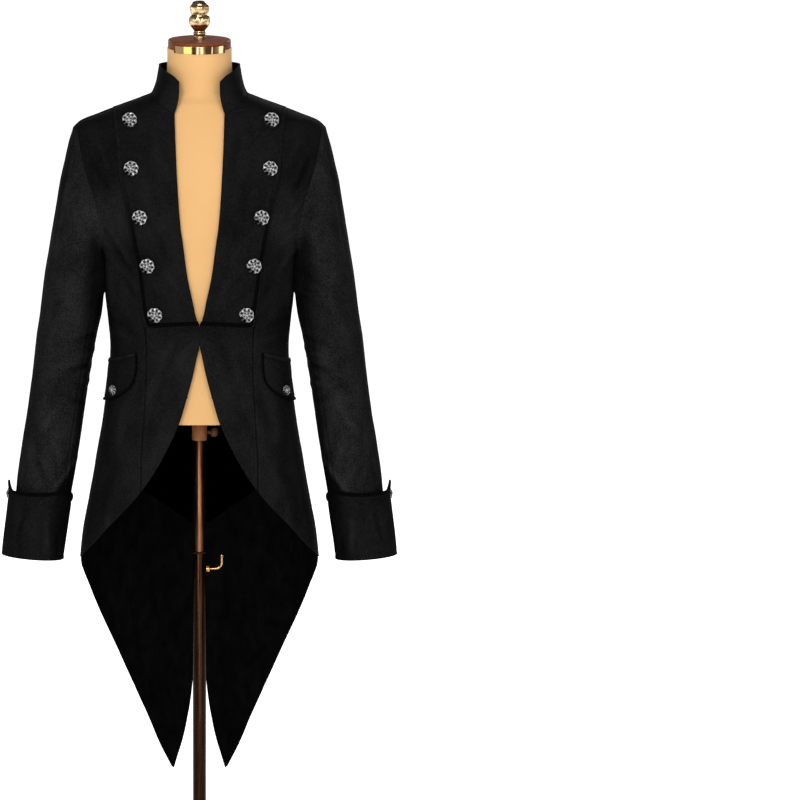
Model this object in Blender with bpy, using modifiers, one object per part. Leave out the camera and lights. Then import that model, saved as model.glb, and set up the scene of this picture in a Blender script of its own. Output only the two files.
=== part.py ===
"""A velvet tail coat on a limbless dress form that stands on a pole.

The coat's body is a stack of ring sections. Every panel is a patch of that surface between its seams, walled
inward. The sleeves start at the armholes' own points and turn down into the arm. The origin is the middle of the
base's underside, +Z is up and the coat's front faces -Y. Sizes are in millimetres until a mesh is made.
"""
import math

import bmesh
import bpy
import numpy as np
from mathutils import Matrix, Vector

MM = 0.001
OBJECT_NAME = "velvet_tail_coat"

CLOTH = 2.0                 # wall of velvet and its lining
COLLAR_CLOTH = 2.2          # the collar has a stiffener
SEAM = 0.2                  # each piece stops this far short of its seam line
ARMHOLE_SEAM = 0.5          # the sleeves stop short by more, because they turn over at the armpit
LAYER = 0.35                # space between a panel and what lies on it
TRIM = 1.8                  # thickness of the braid
PIPING = 1.2                # thickness of the flap's piped edge

BUTTON = 14.0               # radius of the front buttons
SMALL_BUTTON = 9.6          # radius of the flap and cuff buttons
SHANK = 3.0                 # radius of the shank behind a button
SHANK_LEAST = 0.8

FORM_BOTTOM = 936.0
NECK_TOP = 1584.0
CAP_TILT = math.radians(6.5)
CAP_RADIUS = 54.7
CAP_HEIGHT = 14.0

TUBE_RADIUS = 11.8
TUBE_BORE = 8.6
ROD_RADIUS = 8.0
TUBE_TOP = 701.0
ROD_BOTTOM = 360.0
SOCKET_BOTTOM = 897.5
BASE_RADIUS = 170.0
BASE_PLATE = 8.0
HUB_TOP = 26.0
KNOB_HEIGHT = 911.0         # axis of the knob that grips the rod in the socket
LOCK_HEIGHT = 670.0         # axis of the handle that grips the rod in the tube
BOSS = 6.0                  # length of the boss that the handle is screwed into

# Ring sections of the coat's outer surface, top to bottom.
# height, half width, front and back of the middle, line of the sides, fullness of the front and back curve
BODY = (
    (1518, 79.0, -50, 70.5, 12, 1.80, 1.90),
    (1506, 82.0, -58, 78, 12, 1.80, 1.85),
    (1499, 97.5, -62, 82, 12, 1.85, 1.85),
    (1485, 134, -68, 88, 12, 1.95, 1.90),
    (1471, 172, -74, 93, 12, 2.05, 1.95),
    (1457, 207, -80, 98, 12, 2.10, 2.00),
    (1446, 219, -84, 102, 12, 2.10, 2.05),
    (1416, 229, -94, 108, 12, 2.10, 2.15),
    (1368, 229, -108, 113, 12, 2.10, 2.25),
    (1325, 220, -118, 116, 12, 2.20, 2.40),
    (1285, 207, -122, 116, 12, 2.30, 2.45),
    (1250, 189, -122, 113, 11, 2.35, 2.50),
    (1222, 168.6, -121, 110, 10, 2.40, 2.50),
    (1190, 165.4, -119, 106, 9, 2.40, 2.50),
    (1146, 164, -116, 101, 8, 2.35, 2.45),
    (1104, 160, -112, 96.5, 7, 2.30, 2.40),
    (1062, 156.8, -109, 94.5, 6, 2.30, 2.35),
    (1020, 159.2, -109, 97, 6, 2.30, 2.35),
    (977, 165, -111, 104, 6, 2.30, 2.40),
    (914, 174, -114, 117, 8, 2.30, 2.40),
    (871, 182, -115, 124, 9, 2.30, 2.40),
    (829, 189, -116, 129, 10, 2.30, 2.35),
    (786, 197, -117, 134, 11, 2.30, 2.30),
    (744, 205, -118, 138, 12, 2.30, 2.30),
    (701, 210, -118, 141, 14, 2.30, 2.30),
    (640, 215, -118, 145, 16, 2.30, 2.30),
    (560, 219, -118, 149, 18, 2.30, 2.30),
    (480, 222, -118, 152, 20, 2.30, 2.30),
    (280, 228, -118, 156, 22, 2.30, 2.30),
)

# Seams and edges as they stand from the middle line: distance from it against height.
FRONT_EDGE = ((1472.7, 42.9), (1416, 41), (1338, 37), (1274, 31.8), (1258, 29.3), (1198, 21.3), (1153, 12),
              (1118, 4.0), (1111, 0.9), (1104, 0.25), (1078, 0.25), (1051, 5.0), (1019, 12), (985, 21.2))
CUTAWAY = ((985, 21.2), (938, 35.7), (897, 54.4), (850, 80.4), (806, 112), (753, 160), (722, 186), (701, 204),
           (690, 209.5))
BIB_SEAM = ((1480, 151), (1460, 147.5), (1422, 144), (1361, 137.5), (1305, 125.5), (1249, 116), (1211, 109.3),
            (1173, 105.6), (1126, 99.5), (1104, 94.5), (1066, 92.6), (985, 94.5), (910, 99), (880, 101.5))
BACK_SEAM = ((1491.5, 117), (1450, 111), (1400, 102), (1350, 96), (1290, 92), (1230, 93), (1165, 98), (1105, 104),
             (1050, 105), (960, 106), (850, 110), (700, 113), (560, 113), (433, 112.6))
TAIL_EDGE = ((690, 209.5), (676, 208), (653, 201.5), (629, 193), (606, 185), (559, 166.5), (514, 147.3), (468, 128),
             (433, 112.6), (423, 108.5), (378, 89), (333, 71), (284, 47.6))
VENT_EDGE = ((1518, 0.2), (738, 0.2), (678, 1.2), (519, 4.3), (495, 8), (434, 13), (398, 17.6), (376, 21.6),
             (354, 26), (332, 31.5), (309, 38.7), (284, 46.0))
ARMHOLE_FRONT = ((1452, 214), (1416, 208), (1368, 196.5), (1325, 182), (1286, 173.5), (1250, 167), (1232, 166),
                 (1222, 168.6))
ARMHOLE_BACK = ((1452, 214), (1416, 214), (1368, 203.5), (1325, 191), (1286, 178), (1250, 169.5), (1232, 167),
                (1222, 168.6))
ARMHOLE_TOP = 1452.0
ARMPIT = 1222.0

# The neck seam and the collar's upper edge, from the front end round to the middle of the back.
# base: distance out, height; top: distance out, depth, height
COLLAR = (
    (42.9, 1472.7, 36.2, -66, 1528),
    (57.0, 1480.0, 46.0, -57, 1537),
    (71.0, 1491.5, 59.0, -38, 1546),
    (81.8, 1506.0, 69.0, 10, 1555.5),
    (62.0, 1512.5, 58.0, 45, 1557.5),
    (42.0, 1516.0, 41.0, 60, 1559.0),
    (21.0, 1517.6, 21.0, 67.5, 1560.0),
    (0.0, 1518.0, 0.0, 70, 1560.5),
)

# The sleeve's rings below the armhole: under and outer side as out and height, then front and back depth.
SLEEVE = (
    (169.5, 1225.0, 219.8, 1445, -67, 77),
    (171.0, 1225.0, 226.5, 1423, -68, 78),
    (171.7, 1221.0, 234.5, 1387, -69, 79),
    (171.2, 1213.5, 243.5, 1342, -70, 79),
    (170.0, 1201.0, 252.8, 1288, -71, 78),
    (168.6, 1185.0, 261.5, 1234, -70, 76),
    (167.6, 1161.0, 269.5, 1184, -69, 74),
    (170.3, 1126.4, 276.8, 1126.4, -67, 70),
    (179.1, 1084.0, 284.0, 1084.0, -64, 65),
    (188.5, 1030.0, 291.0, 1030.0, -62, 58),
    (198.5, 970.0, 298.5, 970.0, -63, 49),
    (208.5, 903.0, 309.0, 903.0, -67, 38),
    (219.3, 835.0, 319.0, 835.0, -71, 29),
    (223.4, 810.0, 321.5, 810.0, -74, 26),
    (231.0, 758.0, 331.5, 758.0, -78, 19),
    (236.0, 704.0, 340.6, 704.0, -82.4, 12.4),
)
SLEEVE_STEPS = 8            # columns on the front half of a sleeve, and as many on its back half
FRONT_SLEEVE_SEAM = 6       # column of the seam that faces the body
BACK_SLEEVE_SEAM = 12       # column of the seam down the back of the arm

# The cuff's rings: height, under side, outer side, front depth, back depth.
CUFF = (
    (815, 220.2, 332.0, -80.5, 34),
    (779, 224.2, 335.8, -82.5, 27.5),
    (743, 228.6, 339.6, -84, 21),
    (702, 233.6, 343.2, -85, 15),
)
# Height of the cuff's upper edge round the arm, in degrees from the outer side through the front.
CUFF_EDGE = ((0, 831), (22.5, 817), (45, 815), (90, 814), (135, 816), (157.5, 812), (180, 803), (202.5, 793),
             (225, 787), (270, 788), (315, 797), (337.5, 811), (360, 831))
CUFF_BAND = 6.5             # width of the trim along that edge
CUFF_BUTTON_HEIGHT = 808.0

# The flap's columns: distance out, upper edge, lower edge; the last is past the side line.
FLAP = ((107.4, 1058.5, 1040), (111.5, 1057.8, 1013), (119.5, 1055.5, 997.5), (131, 1051, 986.5),
        (144, 1045.5, 977.5), (153.5, 1041, 972), (157.5, 1039.5, 970))
FLAP_BAND = 4.0
FLAP_BUTTON = (148.5, 991.5)
FLAP_LIFT = 1.8             # space under the flap, which bridges the hollow of the waist
FLAP_CLOTH = 1.6

# The front buttons: distance out, height and how far each looks up, in degrees.
BUTTONS = ((121.8, 1462.7, 24), (119.4, 1380.4, 12), (104.5, 1296.7, 3), (91.2, 1212.6, 0), (78.5, 1127.6, -2))


class Track:
    """A smooth curve through the rows of a table that never swings past them."""

    def __init__(self, at, values):
        order = np.argsort(at)
        self.at = np.asarray(at, float)[order]
        self.values = np.asarray(values, float)[order]
        step = np.diff(self.at)
        rise = np.diff(self.values) / step
        slope = np.zeros_like(self.values)
        slope[0], slope[-1] = rise[0], rise[-1]
        for i in range(1, len(rise)):
            if rise[i - 1] * rise[i] > 0:
                near = 2 * step[i] + step[i - 1]
                far = step[i] + 2 * step[i - 1]
                slope[i] = (near + far) / (near / rise[i - 1] + far / rise[i])
        self.slope = slope

    def __call__(self, at):
        at = np.clip(at, self.at[0], self.at[-1])
        i = np.clip(np.searchsorted(self.at, at) - 1, 0, len(self.at) - 2)
        width = self.at[i + 1] - self.at[i]
        t = (at - self.at[i]) / width
        first = (1 + 2 * t) * (1 - t) ** 2 * self.values[i] + t * (1 - t) ** 2 * width * self.slope[i]
        last = t * t * (3 - 2 * t) * self.values[i + 1] + t * t * (t - 1) * width * self.slope[i + 1]
        return first + last


def track(table):
    """The curve of a two-column table."""
    return Track([row[0] for row in table], [row[1] for row in table])


class Surface:
    """The coat's outer surface: at each height a ring with its own front and back curve."""

    def __init__(self, rows):
        at = [row[0] for row in rows]
        self.half, self.front, self.back, self.sides, self.front_bow, self.back_bow = (
            Track(at, [row[i] for row in rows]) for i in range(1, 7))

    def depth(self, x, z, back):
        """Y of the surface at a place seen from the front or from the back."""
        side = self.sides(z)
        reach = np.where(back, self.back(z), self.front(z)) - side
        bow = np.where(back, self.back_bow(z), self.front_bow(z))
        share = np.clip(np.abs(x) / self.half(z), 0, 1)
        return side + reach * (1 - share ** bow) ** (1 / bow)

    def level(self, x, y, z, back):
        """A value that is 1 on the surface and grows outward."""
        side = self.sides(z)
        reach = np.abs(np.where(back, self.back(z), self.front(z)) - side)
        bow = np.where(back, self.back_bow(z), self.front_bow(z))
        return (np.abs(x) / self.half(z)) ** bow + (np.abs(y - side) / reach) ** bow

    def normal(self, p, back):
        """Outward direction at points of the surface."""
        x, y, z = p[..., 0], p[..., 1], p[..., 2]
        e = 0.4
        n = np.stack([self.level(x + e, y, z, back) - self.level(x - e, y, z, back),
                      self.level(x, y + e, z, back) - self.level(x, y - e, z, back),
                      self.level(x, y, z + e, back) - self.level(x, y, z - e, back)], axis=-1)
        return n / np.linalg.norm(n, axis=-1, keepdims=True)

    def place(self, flat, back):
        """Points of the surface for places given as distance out and height."""
        x, z = flat[..., 0], flat[..., 1]
        return np.stack([x, self.depth(x, z, back), z], axis=-1)


COAT = Surface(BODY)


def seam(table, heights):
    """Points of a seam or edge, as distance out and height."""
    heights = np.asarray(heights, float)
    return np.stack([track(table)(heights), heights], axis=-1)


def shoulder(heights):
    """Points of the shoulder line, where the front and back surfaces meet."""
    heights = np.asarray(heights, float)
    return np.stack([COAT.half(heights), heights], axis=-1)


def patch(left, right, top, bottom):
    """A grid of places between four edges that share their corners, evenly blended."""
    rise = (left[0, 1] - left[:, 1]) + (right[0, 1] - right[:, 1])
    t = (rise / rise[-1])[:, None, None]
    run = np.concatenate([[0], np.cumsum(np.linalg.norm(np.diff(top, axis=0), axis=1))])
    s = (run / run[-1])[None, :, None]
    across = (1 - s) * left[:, None] + s * right[:, None]
    down = (1 - t) * top[None] + t * bottom[None]
    corners = ((1 - t) * ((1 - s) * top[0] + s * top[-1]) + t * ((1 - s) * bottom[0] + s * bottom[-1]))
    return across + down - corners


def along(line, shares):
    """Points of a polyline at shares of its length."""
    run = np.concatenate([[0], np.cumsum(np.linalg.norm(np.diff(line, axis=0), axis=1))])
    run /= run[-1]
    return np.stack([np.interp(shares, run, line[:, i]) for i in range(line.shape[1])], axis=-1)


def pull_in(grid, sides, gap=SEAM):
    """Moves the named edges of a grid squarely back from themselves, to open half a seam."""
    grid = grid.copy()
    source = grid.copy()
    for side in sides:
        edge, inner = {"top": ((0, slice(None)), (1, slice(None))), "bottom": ((-1, slice(None)), (-2, slice(None))),
                       "left": ((slice(None), 0), (slice(None), 1)),
                       "right": ((slice(None), -1), (slice(None), -2))}[side]
        way = source[inner] - source[edge]
        run = np.gradient(source[edge], axis=0)
        run /= np.linalg.norm(run, axis=-1, keepdims=True)
        way -= (way * run).sum(axis=-1, keepdims=True) * run
        grid[edge] = grid[edge] + gap * way / np.linalg.norm(way, axis=-1, keepdims=True)
    return grid


def mitre(first, second, wall):
    """The way from the outer to the inner edge where two walls with these outward directions meet."""
    share = np.maximum(1 + (first * second).sum(axis=-1, keepdims=True), 0.45)
    return -wall * (first + second) / share


def grid_normal(grid, wrap):
    """Directions square to a grid of points, by central differences."""
    if wrap:
        around = np.roll(grid, -1, axis=1) - np.roll(grid, 1, axis=1)
    else:
        around = np.gradient(grid, axis=1)
    n = np.cross(around, np.gradient(grid, axis=0))
    return n / np.linalg.norm(n, axis=-1, keepdims=True)


def mirrored(grid):
    """The same points on the other side of the coat."""
    return grid * np.array([-1.0, 1.0, 1.0])


def halves(outer, inner, i, j):
    """A cell's two triangles as rows and columns, split the way that bulges outward."""
    width = outer.shape[1]
    ring = ((i, j), (i, (j + 1) % width), (i + 1, (j + 1) % width), (i + 1, j))
    skin = [outer[place] for place in ring]
    out = skin[0] + skin[2] - inner[ring[0]] - inner[ring[2]]
    first = 0 if (skin[0] + skin[2] - skin[1] - skin[3]) @ out >= 0 else 1
    return [[ring[k % 4] for k in (first, first + step, first + step + 1)] for step in (1, 2)]


def facet_at(outer, inner, x, z):
    """The point and outward direction of a wall's own facet at a place seen from the front."""
    goal = np.array([x, z])
    for i in range(outer.shape[0] - 1):
        for j in range(outer.shape[1] - 1):
            for triangle in halves(outer, inner, i, j):
                a, b, c = (outer[place] for place in triangle)
                sides = np.array([b - a, c - a])[:, (0, 2)].T
                if abs(np.linalg.det(sides)) < 1e-6:
                    continue
                u, v = np.linalg.solve(sides, goal - a[[0, 2]])
                if min(u, v, 1 - u - v) < -1e-6:
                    continue
                way = np.cross(b - a, c - a)
                way *= np.sign(way @ (a - inner[triangle[0]])) / np.linalg.norm(way)
                return a + u * (b - a) + v * (c - a), way
    raise ValueError("the place is off the wall")


MATERIALS = {}


def material(name, colour, rough, metal=0.0):
    """A plain finish, made once."""
    if name not in MATERIALS:
        finish = bpy.data.materials.new(name)
        finish.use_nodes = True
        shader = finish.node_tree.nodes["Principled BSDF"]
        shader.inputs["Base Color"].default_value = (*colour, 1.0)
        shader.inputs["Roughness"].default_value = rough
        shader.inputs["Metallic"].default_value = metal
        finish.diffuse_color = (*colour, 1.0)
        MATERIALS[name] = finish
    return MATERIALS[name]


def velvet():
    return material("velvet", (0.013, 0.013, 0.014), 0.85)


def braid():
    return material("braid", (0.006, 0.006, 0.006), 0.9)


def silver():
    return material("antique_silver", (0.55, 0.55, 0.56), 0.35, 1.0)


def brass():
    return material("brass", (0.83, 0.55, 0.18), 0.2, 1.0)


def bronze():
    return material("bronze", (0.10, 0.055, 0.035), 0.3, 0.9)


def wood():
    return material("wood", (0.33, 0.13, 0.06), 0.4)


def linen():
    return material("form_cover", (0.90, 0.60, 0.36), 0.75)


def keep(thing, finish):
    """Puts an object in the coat's collection with its finish."""
    thing.data.materials.clear()
    thing.data.materials.append(finish)
    for home in list(thing.users_collection):
        home.objects.unlink(thing)
    bpy.data.collections[OBJECT_NAME].objects.link(thing)
    return thing


def wall(name, outer, inner, finish, wrap=False, cells=None, lead=None):
    """A closed wall between two grids of points, over all of their cells or the chosen ones.

    Each cell is split the way that bulges outward, or as the grids in lead are.
    """
    lead = lead or (outer, inner)
    rows, columns = outer.shape[0] - 1, outer.shape[1] - (0 if wrap else 1)
    if cells is None:
        cells = [(i, j) for i in range(rows) for j in range(columns)]
    width = outer.shape[1]
    build = bmesh.new()
    corners = {}

    def corner(layer, i, j):
        key = (layer, i, j % width)
        if key not in corners:
            corners[key] = build.verts.new(tuple((outer, inner)[layer][i, j % width] * MM))
        return corners[key]

    chosen = set(cells)
    for i, j in cells:
        ring = ((i, j), (i, j + 1), (i + 1, j + 1), (i + 1, j))
        for triangle in halves(*lead, i, j):
            build.faces.new([corner(0, *place) for place in triangle])
            build.faces.new([corner(1, *place) for place in reversed(triangle)])
        beside = ((i - 1, j), (i, j + 1), (i + 1, j), (i, j - 1))
        for k, (a, b) in enumerate(beside):
            b = b % columns if wrap else b
            if (a, b) not in chosen:
                start, end = ring[k], ring[(k + 1) % 4]
                a, b = corner(0, *start), corner(0, *end)
                c, d = corner(1, *end), corner(1, *start)
                if (a.co - c.co).length < (b.co - d.co).length:
                    build.faces.new((b, a, c))
                    build.faces.new((a, d, c))
                else:
                    build.faces.new((b, a, d))
                    build.faces.new((b, d, c))
    bmesh.ops.recalc_face_normals(build, faces=build.faces)
    data = bpy.data.meshes.new(name)
    build.to_mesh(data)
    build.free()
    data.shade_smooth()
    data.set_sharp_from_angle(angle=math.radians(40))
    return keep(bpy.data.objects.new(name, data), finish)


def solid_rings(name, rings, finish):
    """A closed solid through rings with the same number of points, with flat ends."""
    build = bmesh.new()
    loops = [[build.verts.new(tuple(p * MM)) for p in ring] for ring in rings]
    for low, high in zip(loops, loops[1:]):
        for j in range(len(low)):
            k = (j + 1) % len(low)
            build.faces.new((low[j], low[k], high[k], high[j]))
    build.faces.new(list(reversed(loops[0])))
    build.faces.new(loops[-1])
    bmesh.ops.recalc_face_normals(build, faces=build.faces)
    data = bpy.data.meshes.new(name)
    build.to_mesh(data)
    build.free()
    data.shade_smooth()
    data.set_sharp_from_angle(angle=math.radians(40))
    return keep(bpy.data.objects.new(name, data), finish)


def turned(name, profile, finish, steps=24):
    """A turned shape: the profile's (radius, height) points run down its outer side, top to bottom."""
    data = bpy.data.meshes.new(name)
    data.from_pydata([(r * MM, 0, z * MM) for r, z in profile],
                     [(i, i + 1) for i in range(len(profile) - 1)], [])
    thing = keep(bpy.data.objects.new(name, data), finish)
    screw = thing.modifiers.new("turn", "SCREW")
    screw.steps = screw.render_steps = steps
    screw.use_merge_vertices = True
    screw.merge_threshold = 0.00001
    screw.use_smooth_shade = True
    return thing


# The panels' rows run from the neck or shoulder down, and their columns from the middle of the coat outward.
BIB_ROW = 12                # row that ends the bib
ARM_ROWS = SLEEVE_STEPS     # rows from the shoulder's end to the armpit


# Lengths of the rows down each seam, closer together where the shoulder turns over.
FRONT_EDGE_STEPS = (6, 8, 11, 16, 24, 34, 42, 48, 52, 55, 58)
BIB_SEAM_STEPS = (10, 13, 16, 20, 26, 36, 48, 58, 63, 68, 72)
BACK_SEAM_STEPS = (10, 13, 16, 22, 30, 40, 50, 60, 68, 74, 80, 84, 88, 90, 92, 94, 94, 96)
BACK_EDGE_STEPS = (9, 12, 18, 26, 36, 48, 58, 66, 72, 78, 82, 86, 90, 92, 94, 96, 98, 100)
SIDE_ROWS = 10              # rows from the armpit down the side seam


def down(table, top, bottom, steps, back):
    """Places down a seam from one height to another, with rows of these lengths along the cloth."""
    flat = seam(table, np.linspace(top, bottom, 400))
    run = COAT.place(flat, back)
    length = np.concatenate([[0], np.cumsum(np.linalg.norm(np.diff(run, axis=0), axis=1))])
    share = np.concatenate([[0], np.cumsum(steps)]) / sum(steps)
    heights = np.interp(share * length[-1], length, flat[:, 1])
    return seam(table, heights)


def armhole(table, back):
    """Armhole points from the shoulder's end to the armpit, closer together near both ends."""
    share = (1 - np.cos(np.linspace(0, math.pi, ARM_ROWS + 1))) / 2
    heights = ARMHOLE_TOP + (ARMPIT - ARMHOLE_TOP) * share
    flat = seam(table, heights)
    flat[0, 0] = COAT.half(ARMHOLE_TOP)
    flat[-1, 0] = COAT.half(ARMPIT)
    return COAT.place(flat, back)


def front_grids():
    """Places of the centre front and the side front."""
    left = np.vstack([down(FRONT_EDGE, 1472.7, 1118.5, FRONT_EDGE_STEPS, False),
                      seam(FRONT_EDGE, (1111.5, 1078, 1060, 1042, 1023, 1004, 985))])
    right = np.vstack([down(BIB_SEAM, 1480, 1112.5, BIB_SEAM_STEPS, False),
                       seam(BIB_SEAM, (1105.5, 1074, 1040, 1003, 964, 922, 880))])
    right[0] = shoulder(1480)
    neck = np.array([[row[0], row[1]] for row in COLLAR[:4]])
    neck[-1] = shoulder(1506)
    top = np.vstack([neck, shoulder((1499, 1490, 1482.5, 1480))])
    run = np.concatenate([[0], np.cumsum(np.linalg.norm(np.diff(top, axis=0), axis=1))])
    cut = seam(CUTAWAY, np.linspace(985, 690, 60))
    foot = next(i for i, p in enumerate(cut) if p[0] > track(BIB_SEAM)(p[1]))
    meeting = cut[foot]
    right[-5:, 1] = np.linspace(1040, meeting[1], 5)
    right[-5:, 0] = track(BIB_SEAM)(right[-5:, 1])
    right[-1] = meeting
    bottom = along(cut[:foot + 1], run / run[-1])
    centre = patch(left, right, top, bottom)
    side_top = shoulder((1480, 1474, 1467, 1459, ARMHOLE_TOP))
    arm = armhole(ARMHOLE_FRONT, False)[:, (0, 2)]
    side = shoulder(np.linspace(ARMPIT, 690, SIDE_ROWS + 1))
    outer = np.vstack([arm, side[1:]])
    hem_share = (0, 0.3, 0.58, 0.82, 1)
    hem = along(cut[foot:], hem_share)
    hem[-1] = outer[-1]
    side_front = patch(right, outer, side_top, hem)
    return centre, side_front


def back_grids():
    """Places of the centre back and the side back."""
    left = down(VENT_EDGE, 1518, 284, BACK_EDGE_STEPS, True)
    right = down(BACK_SEAM, 1491.5, 433, BACK_SEAM_STEPS, True)
    right[0] = shoulder(1491.5)
    neck = np.array([[row[0], row[1]] for row in COLLAR[3:]])[::-1]
    neck[0, 0] = left[0, 0]
    neck[-1] = shoulder(1506)
    top = np.vstack([neck, shoulder((1499, 1491.5))])
    tail = seam(TAIL_EDGE, np.linspace(690, 284, 60))
    foot = int(np.argmin(np.abs(tail[:, 1] - 433)))
    right[-1] = tail[foot]
    run = np.concatenate([[0], np.cumsum(np.linalg.norm(np.diff(top, axis=0), axis=1))])
    bottom = along(tail[foot:][::-1], run / run[-1])
    bottom[0] = left[-1]
    centre = patch(left, right, top, bottom)
    side_top = shoulder((1491.5, 1483, 1474, 1463, ARMHOLE_TOP))
    arm = armhole(ARMHOLE_BACK, True)[:, (0, 2)]
    side = shoulder(np.linspace(ARMPIT, 690, SIDE_ROWS + 1))
    outer = np.vstack([arm, side[1:]])
    hem = along(tail[:foot + 1][::-1], (0, 0.28, 0.56, 0.8, 1))
    hem[-1] = outer[-1]
    side_back = patch(right, outer, side_top, hem)
    return centre, side_back


def on_body(flat, back):
    """Outer points and directions of a grid of places."""
    outer = COAT.place(flat, back)
    return outer, COAT.normal(outer, back)


def armhole_loop():
    """The armhole from the shoulder's end down the front and up the back, with its outward directions."""
    front = armhole(ARMHOLE_FRONT, False)
    back = armhole(ARMHOLE_BACK, True)
    points = np.vstack([front, back[-2:0:-1]])
    way_front = COAT.normal(front, False)
    way_back = COAT.normal(back, True)
    return points, np.vstack([way_front, way_back[-2:0:-1]])


def sleeve_rings():
    """The sleeve's outer rings: the armhole's own shape that turns down and rounds into an oval arm."""
    loop, _ = armhole_loop()
    count = 2 * SLEEVE_STEPS
    turn = np.arange(count) * 2 * math.pi / count
    under, top = loop[SLEEVE_STEPS], loop[0]
    chord = (top - under)[[0, 2]]
    length = np.linalg.norm(chord)
    side = np.array([chord[1], -chord[0]]) / length
    flat = loop[:, (0, 2)] - under[[0, 2]]
    share = flat @ chord / length ** 2
    stray = flat @ side
    rings = [loop]
    for k, (xi, zi, xo, zo, front, back) in enumerate(SLEEVE, start=1):
        blend = min(1.0, k / 7)
        blend = blend * blend * (3 - 2 * blend)
        reach = np.array([xo - xi, zo - zi])
        size = np.linalg.norm(reach)
        square = np.array([reach[1], -reach[0]]) / size
        middle = (front + back) / 2
        oval = (1 + np.cos(turn)) / 2
        depth = middle + np.where(turn <= math.pi, front - middle, back - middle) * np.abs(np.sin(turn))
        u = (1 - blend) * share + blend * oval
        w = (1 - blend) * stray * size / length
        y = (1 - blend) * loop[:, 1] + blend * depth
        place = np.array([xi, zi]) + u[:, None] * reach + w[:, None] * square
        rings.append(np.stack([place[:, 0], y, place[:, 1]], axis=-1))
    return np.array(rings)


def sleeve_walls():
    """Outer and inner rings of the sleeve, and the armhole's inner edge."""
    outer = sleeve_rings()
    ways = grid_normal(outer, True)
    middle = outer.mean(axis=1, keepdims=True)
    if ((outer - middle) * ways).sum() < 0:
        ways = -ways
    _, body_ways = armhole_loop()
    inner = outer - CLOTH * ways
    inner[0] = outer[0] + mitre(body_ways, ways[0], CLOTH)
    return outer, inner


def make_sleeve(sign, hand):
    """Upper and under sleeve, parted at the seam down the back of the arm and the one that faces the body."""
    outer, inner = sleeve_walls()
    count = outer.shape[1]
    first = list(range(BACK_SLEEVE_SEAM, count)) + list(range(FRONT_SLEEVE_SEAM + 1))
    second = list(range(FRONT_SLEEVE_SEAM, BACK_SLEEVE_SEAM + 1))
    for name, columns in (("upper_sleeve", first), ("under_sleeve", second)):
        skin = pull_in(pull_in(outer[:, columns], ("left", "right")), ("top",), ARMHOLE_SEAM)
        lining = pull_in(pull_in(inner[:, columns], ("left", "right")), ("top",), ARMHOLE_SEAM)
        if sign < 0:
            skin, lining = mirrored(skin), mirrored(lining)
        wall(f"{name}_{hand}", skin, lining, velvet())


def cuff_grid():
    """The cuff's outer points: a ring at the trim's two edges and at each row of the table."""
    count = 2 * SLEEVE_STEPS
    turn = np.arange(count) * 2 * math.pi / count
    rows = {name: Track([r[0] for r in CUFF], [r[i] for r in CUFF])
            for i, name in enumerate(("under", "outer", "front", "back"), start=1)}
    edge = np.array([track(CUFF_EDGE)(math.degrees(t)) for t in turn])
    levels = [edge, edge - CUFF_BAND] + [np.full(count, row[0]) for row in CUFF[1:]]
    grid = []
    for z in levels:
        under, out, front, back = (rows[n](z) for n in ("under", "outer", "front", "back"))
        middle = (front + back) / 2
        x = (under + out) / 2 + (out - under) / 2 * np.cos(turn)
        y = middle + np.where(turn <= math.pi, front - middle, back - middle) * np.abs(np.sin(turn))
        grid.append(np.stack([x, y, z], axis=-1))
    return np.array(grid)


def make_cuff(sign, hand):
    """The turned-back cuff, the trim on its upper edge and its small button."""
    outer = cuff_grid()
    ways = grid_normal(outer, True)
    if ((outer - outer.mean(axis=1, keepdims=True)) * ways).sum() < 0:
        ways = -ways
    inner = outer - CLOTH * ways
    low = outer[:2] + LAYER * ways[:2]
    high = low + TRIM * ways[:2]
    share = (CUFF_BUTTON_HEIGHT - outer[1, 0, 2]) / (outer[2, 0, 2] - outer[1, 0, 2])
    face = ways[1, 0]
    seat = outer[1, 0] + share * (outer[2, 0] - outer[1, 0]) + 1.5 * LAYER * face
    if sign < 0:
        outer, inner, low, high, seat, face = (mirrored(g) for g in (outer, inner, low, high, seat, face))
    wall(f"cuff_{hand}", outer, inner, velvet(), wrap=True)
    wall(f"cuff_trim_{hand}", high, low, braid(), wrap=True)
    make_button(f"cuff_button_{hand}", seat, face, SMALL_BUTTON)


def make_button(name, seat, face, radius, shank=0.0):
    """A domed button with a raised rim, its flat back at the seat, and a shank if it leans off the cloth."""
    size = radius / BUTTON
    profile = [(0, 5.4), (6.5, 4.9), (12.6, 3.2), (14, 1.9), (12.8, 0)]
    profile = [(r * size, z * size) for r, z in profile]
    if shank:
        profile += [(SHANK, 0), (SHANK, -shank), (0, -shank)]
    else:
        profile.append((0, 0))
    thing = turned(name, profile, silver(), 14)
    face = Vector(face).normalized()
    thing.matrix_world = Matrix.Translation(Vector(seat) * MM) @ face.to_track_quat("Z", "Y").to_matrix().to_4x4()
    return thing


def sew_button(name, point, way, face, radius, flip):
    """A button whose shank's foot stands on a facet and whose face looks its own way."""
    face = np.asarray(face) / np.linalg.norm(face)
    lean = math.acos(float(np.clip(way @ face, -1, 1)))
    shank = SHANK_LEAST + (radius - SHANK) * math.tan(lean)
    lift = LAYER + SHANK * math.sin(lean)
    seat = point + way * lift + face * shank
    make_button(name, flip(seat), flip(face), radius, shank)


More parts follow.
